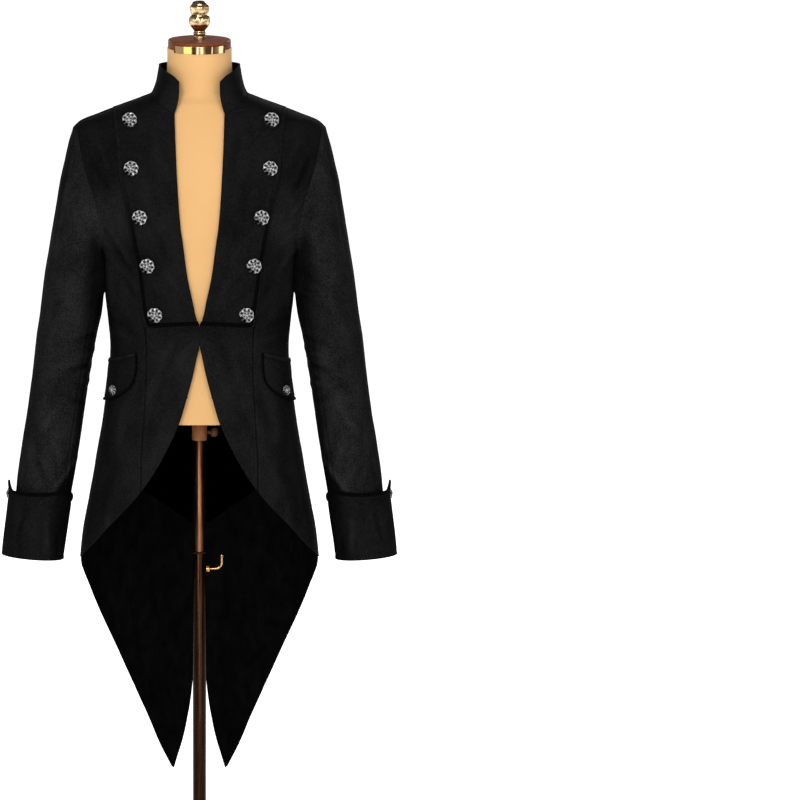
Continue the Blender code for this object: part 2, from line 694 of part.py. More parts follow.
def make_panels(sign, hand):
    """The four panels of one side of the coat's body, the bib with its trim and the pocket flap."""
    flip = mirrored if sign < 0 else (lambda grid: grid)
    centre, side = front_grids()
    back_centre, back_side = back_grids()
    collar_ways = collar_directions()
    sleeve_outer, sleeve_inner = sleeve_walls()
    arm_edge = sleeve_inner[0] - sleeve_outer[0]

    outer, ways = on_body(centre, False)
    inner = outer - CLOTH * ways
    inner[0, :4] = outer[0, :4] + mitre(ways[0, :4], collar_ways[:4], CLOTH)
    shut = ("top", "right")
    wall(f"centre_front_{hand}", flip(pull_in(outer, shut)), flip(pull_in(inner, shut)), velvet())
    make_bib(outer, ways, flip, hand)

    outer, ways = on_body(side, False)
    inner = outer - CLOTH * ways
    inner[:ARM_ROWS + 1, -1] = outer[:ARM_ROWS + 1, -1] + arm_edge[:ARM_ROWS + 1]
    shut = ("top", "left", "right")
    wall(f"side_front_{hand}", flip(pull_in(outer, shut)), flip(pull_in(inner, shut)), velvet())
    make_flap(flip, hand)

    outer, ways = on_body(back_centre, True)
    inner = outer - CLOTH * ways
    last = len(COLLAR) - 4
    inner[0, :last + 1] = outer[0, :last + 1] + mitre(ways[0, :last + 1], collar_ways[3:][::-1], CLOTH)
    shut = ("top", "right")
    wall(f"centre_back_{hand}", flip(pull_in(outer, shut)), flip(pull_in(inner, shut)), velvet())

    outer, ways = on_body(back_side, True)
    inner = outer - CLOTH * ways
    loop_back = np.vstack([arm_edge[:1], arm_edge[:ARM_ROWS - 1:-1]])[:ARM_ROWS + 1]
    inner[:ARM_ROWS + 1, -1] = outer[:ARM_ROWS + 1, -1] + loop_back
    shut = ("top", "left", "right")
    wall(f"side_back_{hand}", flip(pull_in(outer, shut)), flip(pull_in(inner, shut)), velvet())


def make_bib(panel, ways, flip, hand):
    """The bib is the centre front's own points moved out, down to its row, with a braid on its edge."""
    base = panel[:BIB_ROW + 1]
    out = ways[:BIB_ROW + 1]
    edges = ("top",)
    low = pull_in(base + LAYER * out, edges, 0.4)
    high = pull_in(base + (LAYER + CLOTH) * out, edges, 0.4)
    columns = base.shape[1] - 1
    lead = (flip(base), flip(base - CLOTH * out))
    wall(f"bib_{hand}", flip(high), flip(low), velvet(), lead=lead)
    skin = high
    cells = [(i, columns - 1) for i in range(BIB_ROW)]
    cells += [(BIB_ROW - 1, j) for j in range(columns - 1)]
    start = 2 * LAYER + CLOTH
    low = pull_in(base + start * out, edges, 0.4)
    high = pull_in(base + (start + TRIM) * out, edges, 0.4)
    wall(f"bib_trim_{hand}", flip(high), flip(low), braid(), cells=cells, lead=lead)
    for number, (x, z, look) in enumerate(BUTTONS, start=1):
        point, way = facet_at(skin, base, x, z)
        look = math.radians(look)
        face = (way[0] * 0.55, -math.cos(look), math.sin(look))
        sew_button(f"button_{number}_{hand}", point, way, face, BUTTON, flip)


def flap_grid():
    """Places of the flap: its columns run outward, and its first column and last row are the band."""
    grid = []
    for x, upper, lower in FLAP:
        band = min(FLAP_BAND, (upper - lower) * 0.3)
        heights = [upper, upper + (lower + band - upper) * 0.33, upper + (lower + band - upper) * 0.67,
                   lower + band, lower]
        grid.append([(x, z) for z in heights])
    return np.array(grid).transpose(1, 0, 2)


def make_flap(flip, hand):
    """The pocket flap over the side front, the piping along its edge and its button."""
    flat = flap_grid()
    flat[:, -1, 0] = COAT.half(flat[:, -1, 1])
    outer, ways = on_body(flat, False)
    low = outer + FLAP_LIFT * ways
    high = low + FLAP_CLOTH * ways
    wall(f"flap_{hand}", flip(high), flip(low), velvet())
    skin = high
    low = high + LAYER * ways
    high = low + PIPING * ways
    cells = [(i, 0) for i in range(3)] + [(3, j) for j in range(flat.shape[1] - 1)]
    wall(f"flap_piping_{hand}", flip(high), flip(low), braid(), cells=cells)
    point, way = facet_at(skin, outer, *FLAP_BUTTON)
    sew_button(f"flap_button_{hand}", point, way, way + np.array([0, -0.25, 0]), SMALL_BUTTON, flip)


def collar_grid():
    """The collar's outer points on one side: rows from the neck seam up, columns from the front end to the back."""
    shares = np.array((0, 0.12, 0.4, 0.7, 1.0))
    grid = np.zeros((len(shares), len(COLLAR), 3))
    for j, (x, z, top_x, top_y, top_z) in enumerate(COLLAR):
        if j == 3:
            x = float(COAT.half(z))
        base = COAT.place(np.array([x, z]), j > 3)
        top = np.array([top_x, top_y, top_z])
        tuck = (3.2, 2.0, 1.5, 1.5, 1.0, 0.8, 0.5, 0.0)[j]
        for i, v in enumerate(shares):
            point = base + (top - base) * v
            point[0] -= tuck * math.sin(math.pi * v)
            grid[i, j] = point
    return grid


def collar_directions():
    """Outward directions of the collar along the neck seam, from the front end to the middle of the back."""
    grid = collar_grid()
    whole = np.concatenate([grid, mirrored(grid)[:, -2::-1]], axis=1)
    ways = grid_normal(whole, False)
    if ways[0, 3, 0] < 0:
        ways = -ways
    return ways[0, :len(COLLAR)]


def make_collar():
    """The stand collar, one wall from one front end round the back to the other."""
    grid = collar_grid()
    outer = np.concatenate([grid, mirrored(grid)[:, -2::-1]], axis=1)
    ways = grid_normal(outer, False)
    if ways[0, 3, 0] < 0:
        ways = -ways
    inner = outer - COLLAR_CLOTH * ways
    count = len(COLLAR)
    body = np.array([COAT.normal(grid[0, j], j > 3) for j in range(count)])
    foot = mitre(body, ways[0, :count], CLOTH)
    inner[0, :count] = outer[0, :count] + foot
    inner[0, count:] = outer[0, count:] + mirrored(foot)[-2::-1]
    wall("collar", pull_in(outer, ("top",)), pull_in(inner, ("top",)), velvet())


# The form's own neck above the shoulders: height, half width, front, back.
NECK = ((1502, 62, -52, 66), (1518, 60.5, -53, 62), (1535, 57.5, -54, 58.5), (1556, 56.2, -55.5, 56.5),
        (NECK_TOP, 56, -56, 56))
FORM_LEVELS = (1490, 1483, 1474, 1464, 1452, 1436, 1410, 1375, 1330, 1280, 1225, 1165, 1104, 1062, 1000)
# How far the form's cover lies inside the cloth: height against space.
FORM_SPACE = ((1500, 3.7), (1485, 3.1), (1465, 3.2), (1440, 3.9), (1400, 2.9), (1330, 3.0), (1250, 4.5), (1150, 6.0),
              (1062, 7.0), (936, 9.0))
FORM_ARM_PLATE = ((1495, 400), (1455, 205), (1438, 200), (1410, 195), (1375, 186), (1335, 172), (1290, 163),
                  (1245, 158), (1200, 158), (936, 200))


def make_form():
    """The torso form: the coat's rings moved in, cut flat at the arms, with its own neck on top."""
    count = 32
    turn = np.arange(count) * 2 * math.pi / count
    back = np.sin(turn) > 1e-9
    rings = []
    for z, half, front, rear in reversed(NECK):
        middle = (front + rear) / 2
        x = half * np.cos(turn)
        y = middle + (rear - front) / 2 * np.sin(turn)
        lean = {NECK_TOP: 1.0, 1556: 0.45}.get(z, 0.0)
        rings.append(np.stack([x, y, z + y * math.tan(CAP_TILT) * lean], axis=-1))
    space = track(FORM_SPACE)
    plate = track(FORM_ARM_PLATE)
    for z in FORM_LEVELS + (FORM_BOTTOM,):
        half = float(COAT.half(z))
        bow = 2.2
        x = half * np.sign(np.cos(turn)) * np.abs(np.cos(turn)) ** (2 / bow)
        heights = np.full(count, float(z))
        skin = np.stack([x, COAT.depth(x, heights, back), heights], axis=-1)
        ring = skin - (CLOTH + space(z)) * COAT.normal(skin, back)
        if z == FORM_BOTTOM:
            ring[:, 2] = z
        ring[:, 0] = np.clip(ring[:, 0], -plate(z), plate(z))
        rings.append(ring)
    solid_rings("torso_form", rings, linen())


def make_head():
    """The neck cap, its front plate and the finial, tilted together."""
    tilt = Matrix.Translation(Vector((0, 0, NECK_TOP * MM))) @ Matrix.Rotation(CAP_TILT, 4, "X")
    edge = 1.5
    cap = turned("neck_cap", ((0, CAP_HEIGHT), (CAP_RADIUS - edge, CAP_HEIGHT), (CAP_RADIUS, CAP_HEIGHT - edge),
                              (CAP_RADIUS, LAYER + edge), (CAP_RADIUS - edge, LAYER), (0, LAYER)), wood(), 40)
    cap.matrix_world = tilt
    low, high = -5.0, 9.5
    bend = np.radians(np.linspace(-53, 53, 15))
    outside = np.array([[(58.2 * math.sin(b), -58.2 * math.cos(b), z) for b in bend] for z in (high, low)])
    inside = np.array([[(56.9 * math.sin(b), -56.9 * math.cos(b), z) for b in bend] for z in (high, low)])
    plate = wall("cap_plate", outside, inside, brass())
    plate.matrix_world = tilt
    foot = CAP_HEIGHT + LAYER
    profile = ((0, 67.5), (6, 66.9), (11, 65), (15, 61.5), (17.2, 56.5), (17.1, 51.5), (15.5, 46.5), (14.3, 44),
               (16.5, 41.5), (18.3, 36), (18.5, 31), (17.2, 25.5), (14, 20.5), (10.8, 17), (9.6, 14.5),
               (10.6, 12.6), (11.2, 10.5), (10.3, 8.4), (10, 6), (10, 0), (0, 0))
    finial = turned("finial", [(r, z + foot) for r, z in profile], brass(), 16)
    finial.matrix_world = tilt


def make_stand():
    """Socket, knob, rod, tube, lock handle and base."""
    top = FORM_BOTTOM - LAYER
    turned("socket", ((TUBE_BORE, top), (13.3, top), (13.3, SOCKET_BOTTOM + 2), (12, SOCKET_BOTTOM),
                      (TUBE_BORE, SOCKET_BOTTOM), (TUBE_BORE, top)), wood(), 24)
    turned("rod", ((0, top), (ROD_RADIUS, top), (ROD_RADIUS, ROD_BOTTOM), (0, ROD_BOTTOM)), bronze(), 20)
    foot = BASE_PLATE + LAYER
    turned("tube", ((TUBE_BORE, TUBE_TOP), (TUBE_RADIUS - 1, TUBE_TOP), (TUBE_RADIUS, TUBE_TOP - 1.5),
                    (TUBE_RADIUS, foot), (TUBE_BORE, foot), (TUBE_BORE, TUBE_TOP)), bronze(), 24)
    bore = TUBE_RADIUS + LAYER
    turned("base", ((bore, HUB_TOP), (24, HUB_TOP), (28, HUB_TOP - 4), (30, BASE_PLATE + 2), (150, BASE_PLATE),
                    (BASE_RADIUS - 2, BASE_PLATE - 1), (BASE_RADIUS, BASE_PLATE - 3), (BASE_RADIUS, 0), (0, 0),
                    (0, BASE_PLATE), (bore, BASE_PLATE), (bore, HUB_TOP)), bronze(), 40)
    knob = turned("socket_knob", ((0, 19.3), (5.5, 18.9), (7.7, 16.3), (7.7, 8.3), (6, 5.3), (3, 4.8), (3, 0),
                                  (0, 0)), wood(), 16)
    sideways = Matrix.Rotation(math.pi / 2, 4, "Y")
    knob.matrix_world = Matrix.Translation((13.7 * MM, 0, KNOB_HEIGHT * MM)) @ sideways
    boss = turned("lock_boss", ((0, BOSS), (5.2, BOSS), (6, BOSS - 1), (6, 0), (0, 0)), bronze(), 16)
    boss.matrix_world = Matrix.Translation((bore * MM, 0, LOCK_HEIGHT * MM)) @ sideways
    make_lock_handle()


def make_lock_handle():
    """A bent rod that turns about its shank in the boss."""
    start = TUBE_RADIUS + LAYER + BOSS + LAYER
    bend, arm, tip = 11.0, 39.0, 24.0
    route = [(start, 0)]
    route += [(arm - bend + bend * math.sin(a), bend - bend * math.cos(a)) for a in np.linspace(0, math.pi / 2, 6)]
    route += [(arm, tip)]
    curve = bpy.data.curves.new("lock_handle", "CURVE")
    curve.dimensions = "3D"
    curve.bevel_depth = 1.9 * MM
    curve.bevel_resolution = 2
    curve.use_fill_caps = True
    line = curve.splines.new("POLY")
    line.points.add(len(route) - 1)
    for point, (x, z) in zip(line.points, route):
        point.co = (x * MM, 0, z * MM, 1)
    thing = bpy.data.objects.new("lock_handle", curve)
    bpy.data.collections[OBJECT_NAME].objects.link(thing)
    thing.data.materials.append(brass())
    thing.location = (0, 0, LOCK_HEIGHT * MM)
    return thing


def main():
    for thing in list(bpy.data.objects):
        bpy.data.objects.remove(thing, do_unlink=True)
    home = bpy.data.collections.new(OBJECT_NAME)
    bpy.context.scene.collection.children.link(home)
    for sign, hand in ((1, "left"), (-1, "right")):
        make_panels(sign, hand)
        make_sleeve(sign, hand)
        make_cuff(sign, hand)
    make_collar()
    make_form()
    make_head()
    make_stand()


main()
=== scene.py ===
"""Looks of a velvet tail coat on a limbless dress form with a pole stand.

Every cloth piece is a thin wall over the same surface that its solid has, with soft creases and seams
pressed in. Sizes are in millimetres until a mesh is made, and in metres after that.
"""
import functools
import math

import bmesh
import bpy
import numpy as np
from mathutils import Matrix, Vector


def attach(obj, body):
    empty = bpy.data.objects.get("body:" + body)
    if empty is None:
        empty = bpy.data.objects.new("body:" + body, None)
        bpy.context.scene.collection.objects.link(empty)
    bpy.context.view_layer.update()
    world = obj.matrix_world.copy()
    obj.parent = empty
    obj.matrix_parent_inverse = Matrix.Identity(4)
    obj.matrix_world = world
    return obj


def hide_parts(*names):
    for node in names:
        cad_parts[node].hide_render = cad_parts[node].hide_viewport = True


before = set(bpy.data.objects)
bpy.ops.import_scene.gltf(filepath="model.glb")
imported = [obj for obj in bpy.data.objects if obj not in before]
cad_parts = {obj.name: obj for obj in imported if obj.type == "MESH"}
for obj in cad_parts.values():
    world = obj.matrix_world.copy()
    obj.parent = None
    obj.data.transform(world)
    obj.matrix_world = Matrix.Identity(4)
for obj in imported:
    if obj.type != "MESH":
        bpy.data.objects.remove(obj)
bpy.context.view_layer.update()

MM = 0.001
CLOTH = 2.0
COLLAR_CLOTH = 2.2
SEAM = 0.02                 # half the seam that opens between two panels
OVERLAP = -0.25             # a top edge that runs on under its neighbour, so that no light shows between them
LAYER = 0.35
BRAID_HEIGHT = 2.3
PIXEL = 1.75                # millimetres of the coat that one pixel of the photograph spans
PHOTO = 800                 # the photograph's width in pixels
COAT_MIDDLE = 199.5         # the pixel column in which the coat's middle line stands

# Ring sections of the coat's outer surface, top to bottom.
# height, half width, front and back of the middle, line of the sides, fullness of the front and back curve
BODY = (
    (1518, 79.0, -50, 70.5, 12, 1.80, 1.90),
    (1506, 82.0, -58, 78, 12, 1.80, 1.85),
    (1499, 97.5, -62, 82, 12, 1.85, 1.85),
    (1485, 134, -68, 88, 12, 1.95, 1.90),
    (1471, 172, -74, 93, 12, 2.05, 1.95),
    (1457, 207, -80, 98, 12, 2.10, 2.00),
    (1446, 219, -84, 102, 12, 2.10, 2.05),
    (1416, 229, -94, 108, 12, 2.10, 2.15),
    (1368, 229, -108, 113, 12, 2.10, 2.25),
    (1325, 220, -118, 116, 12, 2.20, 2.40),
    (1285, 207, -122, 116, 12, 2.30, 2.45),
    (1250, 189, -122, 113, 11, 2.35, 2.50),
    (1222, 168.6, -121, 110, 10, 2.40, 2.50),
    (1190, 165.4, -119, 106, 9, 2.40, 2.50),
    (1146, 164, -116, 101, 8, 2.35, 2.45),
    (1104, 160, -112, 96.5, 7, 2.30, 2.40),
    (1062, 156.8, -109, 94.5, 6, 2.30, 2.35),
    (1020, 159.2, -109, 97, 6, 2.30, 2.35),
    (977, 165, -111, 104, 6, 2.30, 2.40),
    (914, 174, -114, 117, 8, 2.30, 2.40),
    (871, 182, -115, 124, 9, 2.30, 2.40),
    (829, 189, -116, 129, 10, 2.30, 2.35),
    (786, 197, -117, 134, 11, 2.30, 2.30),
    (744, 205, -118, 138, 12, 2.30, 2.30),
    (701, 210, -118, 141, 14, 2.30, 2.30),
    (640, 215, -118, 145, 16, 2.30, 2.30),
    (560, 219, -118, 149, 18, 2.30, 2.30),
    (480, 222, -118, 152, 20, 2.30, 2.30),
    (280, 228, -118, 156, 22, 2.30, 2.30),
)

# Seams and edges as they stand from the middle line: height, distance from it.
FRONT_EDGE = ((1472.7, 42.9), (1416, 41), (1338, 37), (1274, 31.8), (1258, 29.3), (1198, 21.3), (1153, 12),
              (1118, 4.0), (1111, 0.4), (1104, -0.06), (1078, -0.06), (1051, 5.0), (1019, 12), (985, 21.2))
CUTAWAY = ((985, 21.2), (938, 35.7), (897, 54.4), (850, 80.4), (806, 112), (753, 160), (722, 186), (701, 204),
           (690, 209.5))
BIB_SEAM = ((1480, 151), (1460, 147.5), (1422, 144), (1361, 137.5), (1305, 125.5), (1249, 116), (1211, 109.3),
            (1173, 105.6), (1126, 99.5), (1104, 94.5), (1066, 92.6), (985, 94.5), (910, 99), (880, 101.5))
BACK_SEAM = ((1491.5, 117), (1450, 111), (1400, 102), (1350, 96), (1290, 92), (1230, 93), (1165, 98),
             (1105, 104), (1050, 105), (960, 106), (850, 110), (700, 113), (560, 113), (433, 112.6))
TAIL_EDGE = ((690, 209.5), (676, 209.4), (653, 204.1), (629, 196), (606, 188.2), (559, 169.5), (514, 150),
             (468, 130.4), (433, 115.1), (423, 110.9), (378, 91.2), (333, 73), (284, 48.6))
VENT_EDGE = ((1518, 0.2), (738, 0.2), (678, 1.2), (519, 4.3), (495, 8), (434, 13), (398, 17.6), (376, 21.6),
             (354, 26), (332, 31.5), (309, 38.7), (284, 46.0))
ARMHOLE_FRONT = ((1452, 214), (1416, 208), (1368, 196.5), (1325, 182), (1286, 173.5), (1250, 167),
                 (1232, 166), (1222, 168.6))
ARMHOLE_BACK = ((1452, 214), (1416, 214), (1368, 203.5), (1325, 191), (1286, 178), (1250, 169.5), (1232, 167),
                (1222, 168.6))
ARMHOLE_TOP = 1452.0
ARMPIT = 1222.0
NECK_POINT = 1506.0         # height where the neck seam meets the shoulder's line
BIB_TOP = 1480.0
BACK_SEAM_TOP = 1491.5
BACK_SEAM_FOOT = 433.0
CUT_START = 985.0           # where the front edge begins to slant away
HEM = 690.0                 # where the side line ends and the tail goes on alone
TAIL_FOOT = 284.0

# Row lengths down each seam, as the solids have them.
FRONT_EDGE_STEPS = (6, 8, 11, 16, 24, 34, 42, 48, 52, 55, 58)
BIB_SEAM_STEPS = (10, 13, 16, 20, 26, 36, 48, 58, 63, 68, 72)
BACK_SEAM_STEPS = (10, 13, 16, 22, 30, 40, 50, 60, 68, 74, 80, 84, 88, 90, 92, 94, 94, 96)
BACK_EDGE_STEPS = (9, 12, 18, 26, 36, 48, 58, 66, 72, 78, 82, 86, 90, 92, 94, 96, 98, 100)
ROWS = 18
BIB_ROW = 12
ARM_ROWS = 8

# The neck seam and the collar's upper edge, from the front end round to the middle of the back.
# base: distance out, height; top: distance out, depth, height; how far the wall is tucked in between them
COLLAR = (
    (42.9, 1472.7, 36.2, -66, 1528, 3.2),
    (57.0, 1480.0, 46.0, -57, 1537, 2.0),
    (71.0, 1491.5, 60.2, -38, 1546, 1.5),
    (81.8, 1506.0, 70.8, 10, 1555.5, 1.5),
    (62.0, 1512.5, 58.0, 45, 1557.5, 1.0),
    (42.0, 1516.0, 41.0, 60, 1559.0, 0.8),
    (21.0, 1517.6, 21.0, 67.5, 1560.0, 0.5),
    (0.0, 1518.0, 0.0, 70, 1560.5, 0.0),
)

# The seam that shows below the collar: distance out and height.
COLLAR_LINE = ((43, 1471.0), (60, 1473.5), (83, 1476), (100, 1484))

# The sleeve's rings: under and outer side as out and height, then front and back depth.
SLEEVE = (
    (169.3, 1225.0, 219.8, 1445, -67, 77),
    (170.0, 1225.0, 226.8, 1423, -68, 78),
    (169.8, 1221.0, 235.3, 1387, -69, 79),
    (168.8, 1213.5, 244.9, 1342, -70, 79),
    (167.8, 1201.0, 254.2, 1288, -71, 78),
    (167.0, 1185.0, 262.9, 1234, -70, 76),
    (166.8, 1161.0, 270.9, 1184, -69, 74),
    (170.1, 1126.4, 278.0, 1126.4, -67, 70),
    (179.1, 1084.0, 284.8, 1084.0, -64, 65),
    (188.5, 1030.0, 291.0, 1030.0, -62, 58),
    (198.5, 970.0, 298.5, 970.0, -63, 49),
    (208.5, 903.0, 309.0, 903.0, -67, 38),
    (219.3, 835.0, 319.0, 835.0, -71, 29),
    (223.4, 810.0, 321.5, 810.0, -74, 26),
    (231.0, 758.0, 331.5, 758.0, -78, 19),
    (236.0, 704.0, 340.6, 704.0, -82.4, 12.4),
)
UNDER_FROM, UNDER_TO = 135.0, 270.0     # degrees round the arm from its outer side, where the two seams lie

CUFF = (
    (815, 221.0, 333.0, -80.5, 34),
    (779, 225.6, 337.4, -82.5, 27.5),
    (743, 230.9, 341.9, -84, 21),
    (702, 237.0, 346.4, -85, 15),
)
CUFF_EDGE = ((0, 831), (22.5, 817), (45, 815), (90, 814), (135, 816), (157.5, 812), (180, 803), (202.5, 793),
             (225, 787), (270, 788), (315, 797), (337.5, 811), (360, 831))
CUFF_BAND = 6.5
CUFF_BUTTON_HEIGHT = 808.0

FLAP = ((107.4, 1061.5, 1040), (111.5, 1060.9, 1013), (119.5, 1058.8, 997.5), (131, 1054.6, 986.5),
        (144, 1049.3, 977.5), (153.5, 1044.9, 972), (157.5, 1043.4, 970))
FLAP_LIFT = 1.8
FLAP_CLOTH = 1.6
FLAP_BUTTON = (148.5, 991.5)

BIB_BAND = 6.8              # width of the bib's braid
TRIM_POINTS = 700           # points along a braid
PIPING = (1.9, 1.5)         # half width and half height of the flap's cord

# The front buttons: distance out, height and how far each looks up, in degrees.
BUTTONS = ((121.4, 1459.6, 20), (119.0, 1378.8, 10), (104.3, 1296.0, 3), (91.0, 1212.4, 0),
           (78.3, 1127.6, -2))
BUTTON = 14.0
SMALL_BUTTON = 9.6
SHANK = 3.0                 # radius of a button's shank

# Creases of the front: distance out, height, direction in degrees from level, half length, half width, depth.
FRONT_CREASES = (
    (143, 1236, 48, 34, 4.5, 1.5), (151, 1222, 50, 28, 3.8, -1.1), (134, 1212, 52, 30, 5.0, 1.1),
    (150, 1289, 3, 13, 2.4, 0.9), (160, 1270, 32, 20, 4.0, 1.0), (168, 1310, 50, 22, 4.2, -0.9),
    (176, 1368, 62, 30, 5.0, 1.3), (164, 1402, 68, 26, 4.0, -0.8), (120, 1172, 55, 26, 5.0, 0.9),
    (128, 1132, 40, 24, 4.5, -0.8), (140, 1110, 24, 22, 4.0, 1.0), (131, 1086, 15, 24, 4.2, -0.9),
    (112, 1070, 8, 18, 3.4, 0.7), (60, 1405, 78, 36, 7.0, 0.8), (92, 1330, 72, 40, 8.0, -0.7),
    (60, 1250, 66, 34, 7.0, 0.7), (45, 1180, 58, 26, 6.0, -0.6), (70, 1160, 40, 22, 5.0, 0.7),
    (50, 1050, 118, 38, 7.0, 1.2), (74, 1010, 112, 44, 8.0, -1.1), (110, 960, 104, 46, 8.0, 1.1),
    (84, 930, 116, 36, 7.0, 0.9), (138, 930, 98, 52, 9.0, -1.2), (150, 860, 96, 50, 9.0, 1.3),
    (122, 862, 112, 38, 7.0, -0.9), (170, 800, 98, 46, 8.0, 1.1), (160, 760, 100, 30, 7.0, -0.8),
    (98, 1046, 62, 12, 2.2, 0.7), (102, 1034, 50, 10, 1.9, -0.6), (96, 1024, 74, 13, 2.4, 0.6),
    (22, 1096, 12, 12, 1.7, 0.9), (23, 1088, 166, 12, 1.6, -0.8), (21, 1079, 150, 13, 1.8, 0.9),
    (17, 1070, 132, 12, 1.6, -0.7), (11, 1063, 112, 11, 1.5, 0.8), (24, 1103, 30, 10, 1.6, -0.7),
)
# Creases of the back, in the same columns.
BACK_CREASES = (
    (150, 1250, 130, 34, 6.0, 1.4), (160, 1228, 138, 26, 5.0, -1.0), (138, 1300, 122, 40, 7.0, 1.1),
    (60, 1420, 96, 44, 9.0, -0.8), (30, 1300, 88, 52, 8.0, 0.8), (70, 1190, 100, 46, 9.0, -0.9),
    (44, 1120, 12, 30, 5.0, 0.9), (62, 1092, 6, 34, 4.6, -0.9), (40, 1066, 172, 28, 4.5, 1.0),
    (120, 1102, 10, 24, 4.4, 0.9), (128, 1076, 168, 22, 4.0, -0.8), (118, 1044, 8, 24, 5.0, 0.8),
    (50, 980, 92, 58, 9.0, -1.0), (84, 920, 88, 60, 10.0, 1.2), (26, 860, 90, 60, 9.0, 1.0),
    (140, 940, 94, 60, 10.0, -1.2), (158, 850, 96, 56, 9.0, 1.2), (62, 760, 91, 70, 10.0, -1.2),
    (132, 740, 98, 60, 10.0, 1.3), (170, 720, 102, 40, 9.0, -1.0), (36, 640, 89, 70, 9.0, 1.1),
    (84, 600, 92, 66, 10.0, -1.2), (140, 590, 108, 40, 9.0, 1.0), (50, 480, 90, 60, 8.0, 1.0),
    (88, 470, 100, 40, 8.0, -0.9), (44, 380, 93, 40, 7.0, -0.8), (180, 1400, 72, 30, 6.0, 1.0),
)
# Creases of the sleeves and cuffs: degrees round the arm, height, direction, half length, half width, depth.
SLEEVE_CREASES = (
    (120, 1190, 35, 34, 6.0, 1.9), (140, 1160, 30, 30, 5.5, -1.4), (100, 1222, 48, 36, 6.5, 1.7),
    (70, 1280, 60, 44, 8.0, -1.2), (230, 1200, 145, 36, 6.5, 1.7), (255, 1250, 128, 38, 7.0, -1.3),
    (60, 1140, 74, 46, 8.0, 1.2), (30, 1220, 84, 60, 9.0, -1.0), (135, 1080, 22, 34, 5.2, 1.7),
    (150, 1056, 12, 36, 4.6, -1.5), (138, 1030, 6, 38, 5.0, 1.8), (152, 1004, 172, 34, 4.6, -1.3),
    (128, 978, 160, 34, 5.4, 1.5), (100, 1012, 30, 28, 6.0, 1.0), (80, 948, 54, 36, 7.0, -1.0),
    (220, 1040, 165, 32, 5.5, 1.3), (240, 1000, 18, 30, 5.5, -1.1), (60, 900, 100, 46, 8.0, 1.1),
    (110, 880, 112, 36, 6.5, -1.1), (84, 848, 128, 26, 4.6, 1.9), (112, 836, 118, 20, 4.4, -1.4),
    (40, 846, 84, 26, 5.0, 1.0), (150, 852, 96, 30, 5.0, 1.1), (260, 900, 84, 50, 8.0, -1.0),
    (300, 1120, 92, 60, 9.0, 1.0), (330, 960, 96, 50, 9.0, -0.9), (10, 1060, 88, 54, 9.0, 1.0),
    (350, 1330, 80, 40, 8.0, -0.9), (40, 1370, 62, 26, 6.0, 1.0),
)
CUFF_CREASES = (
    (62, 760, 80, 30, 5.0, 0.9), (110, 740, 96, 34, 5.0, -0.8), (95, 802, 40, 10, 2.2, 0.8),
    (25, 744, 90, 34, 6.0, 0.7), (200, 750, 84, 30, 6.0, -0.8), (250, 740, 98, 30, 6.0, 0.8),
    (300, 752, 90, 30, 6.0, -0.7), (140, 720, 104, 18, 5.0, 0.8),
)


class Track:
    """A smooth curve through a table's rows that never swings past them: cubic pieces, limited slopes."""

    def __init__(self, at, values):
        order = np.argsort(at)
        self.at = np.asarray(at, float)[order]
        self.values = np.asarray(values, float)[order]
        step = np.diff(self.at).reshape((-1,) + (1,) * (self.values.ndim - 1))
        steep = np.diff(self.values, axis=0) / step
        near, far = 2 * step[1:] + step[:-1], step[1:] + 2 * step[:-1]
        same = steep[:-1] * steep[1:] > 0
        first = np.where(same, steep[:-1], 1)
        second = np.where(same, steep[1:], 1)
        inner = np.where(same, (near + far) / (near / first + far / second), 0)
        self.slope = np.concatenate([steep[:1], inner, steep[-1:]])

    def __call__(self, at):
        at = np.clip(np.asarray(at, float), self.at[0], self.at[-1])
        i = np.clip(np.searchsorted(self.at, at) - 1, 0, len(self.at) - 2)
        more = (1,) * (self.values.ndim - 1)
        width = (self.at[i + 1] - self.at[i]).reshape(at.shape + more)
        t = (at - self.at[i]).reshape(at.shape + more) / width
        first = (1 + 2 * t) * (1 - t) ** 2 * self.values[i] + t * (1 - t) ** 2 * width * self.slope[i]
        last = t * t * (3 - 2 * t) * self.values[i + 1] + t * t * (t - 1) * width * self.slope[i + 1]
        return first + last


def track(table):
    """The curve of a two-column table."""
    return Track([row[0] for row in table], [row[1] for row in table])


class Surface:
    """The coat's outer surface: at each height a ring with its own front and back curve."""

    def __init__(self, rows):
        at = [row[0] for row in rows]
        self.half, self.front, self.back, self.sides, self.front_bow, self.back_bow = (
            Track(at, [row[i] for row in rows]) for i in range(1, 7))

    def parts(self, z, back):
        side = self.sides(z)
        reach = np.where(back, self.back(z), self.front(z)) - side
        return side, reach, np.where(back, self.back_bow(z), self.front_bow(z))

    def depth(self, x, z, back):
        """Y of the surface: side + reach * (1 - (|x| / half) ^ bow) ^ (1 / bow)."""
        side, reach, bow = self.parts(z, back)
        share = clamp(np.abs(x) / self.half(z))
        return side + reach * (1 - share ** bow) ** (1 / bow)

    def level(self, x, y, z, back):
        side, reach, bow = self.parts(z, back)
        return (np.abs(x) / self.half(z)) ** bow + (np.abs(y - side) / np.abs(reach)) ** bow

    def normal(self, p, back):
        """Outward direction: the slope of the value that is 1 on the surface."""
        x, y, z = p[..., 0], p[..., 1], p[..., 2]
        e = 0.4
        n = np.stack([self.level(x + e, y, z, back) - self.level(x - e, y, z, back),
                      self.level(x, y + e, z, back) - self.level(x, y - e, z, back),
                      self.level(x, y, z + e, back) - self.level(x, y, z - e, back)], axis=-1)
        return n / np.linalg.norm(n, axis=-1, keepdims=True)

    def place(self, flat, back):
        x, z = flat[..., 0], flat[..., 1]
        return np.stack([x, self.depth(x, z, back), z], axis=-1)


COAT = Surface(BODY)


def unit(v):
    return v / np.maximum(np.linalg.norm(v, axis=-1, keepdims=True), 1e-9)


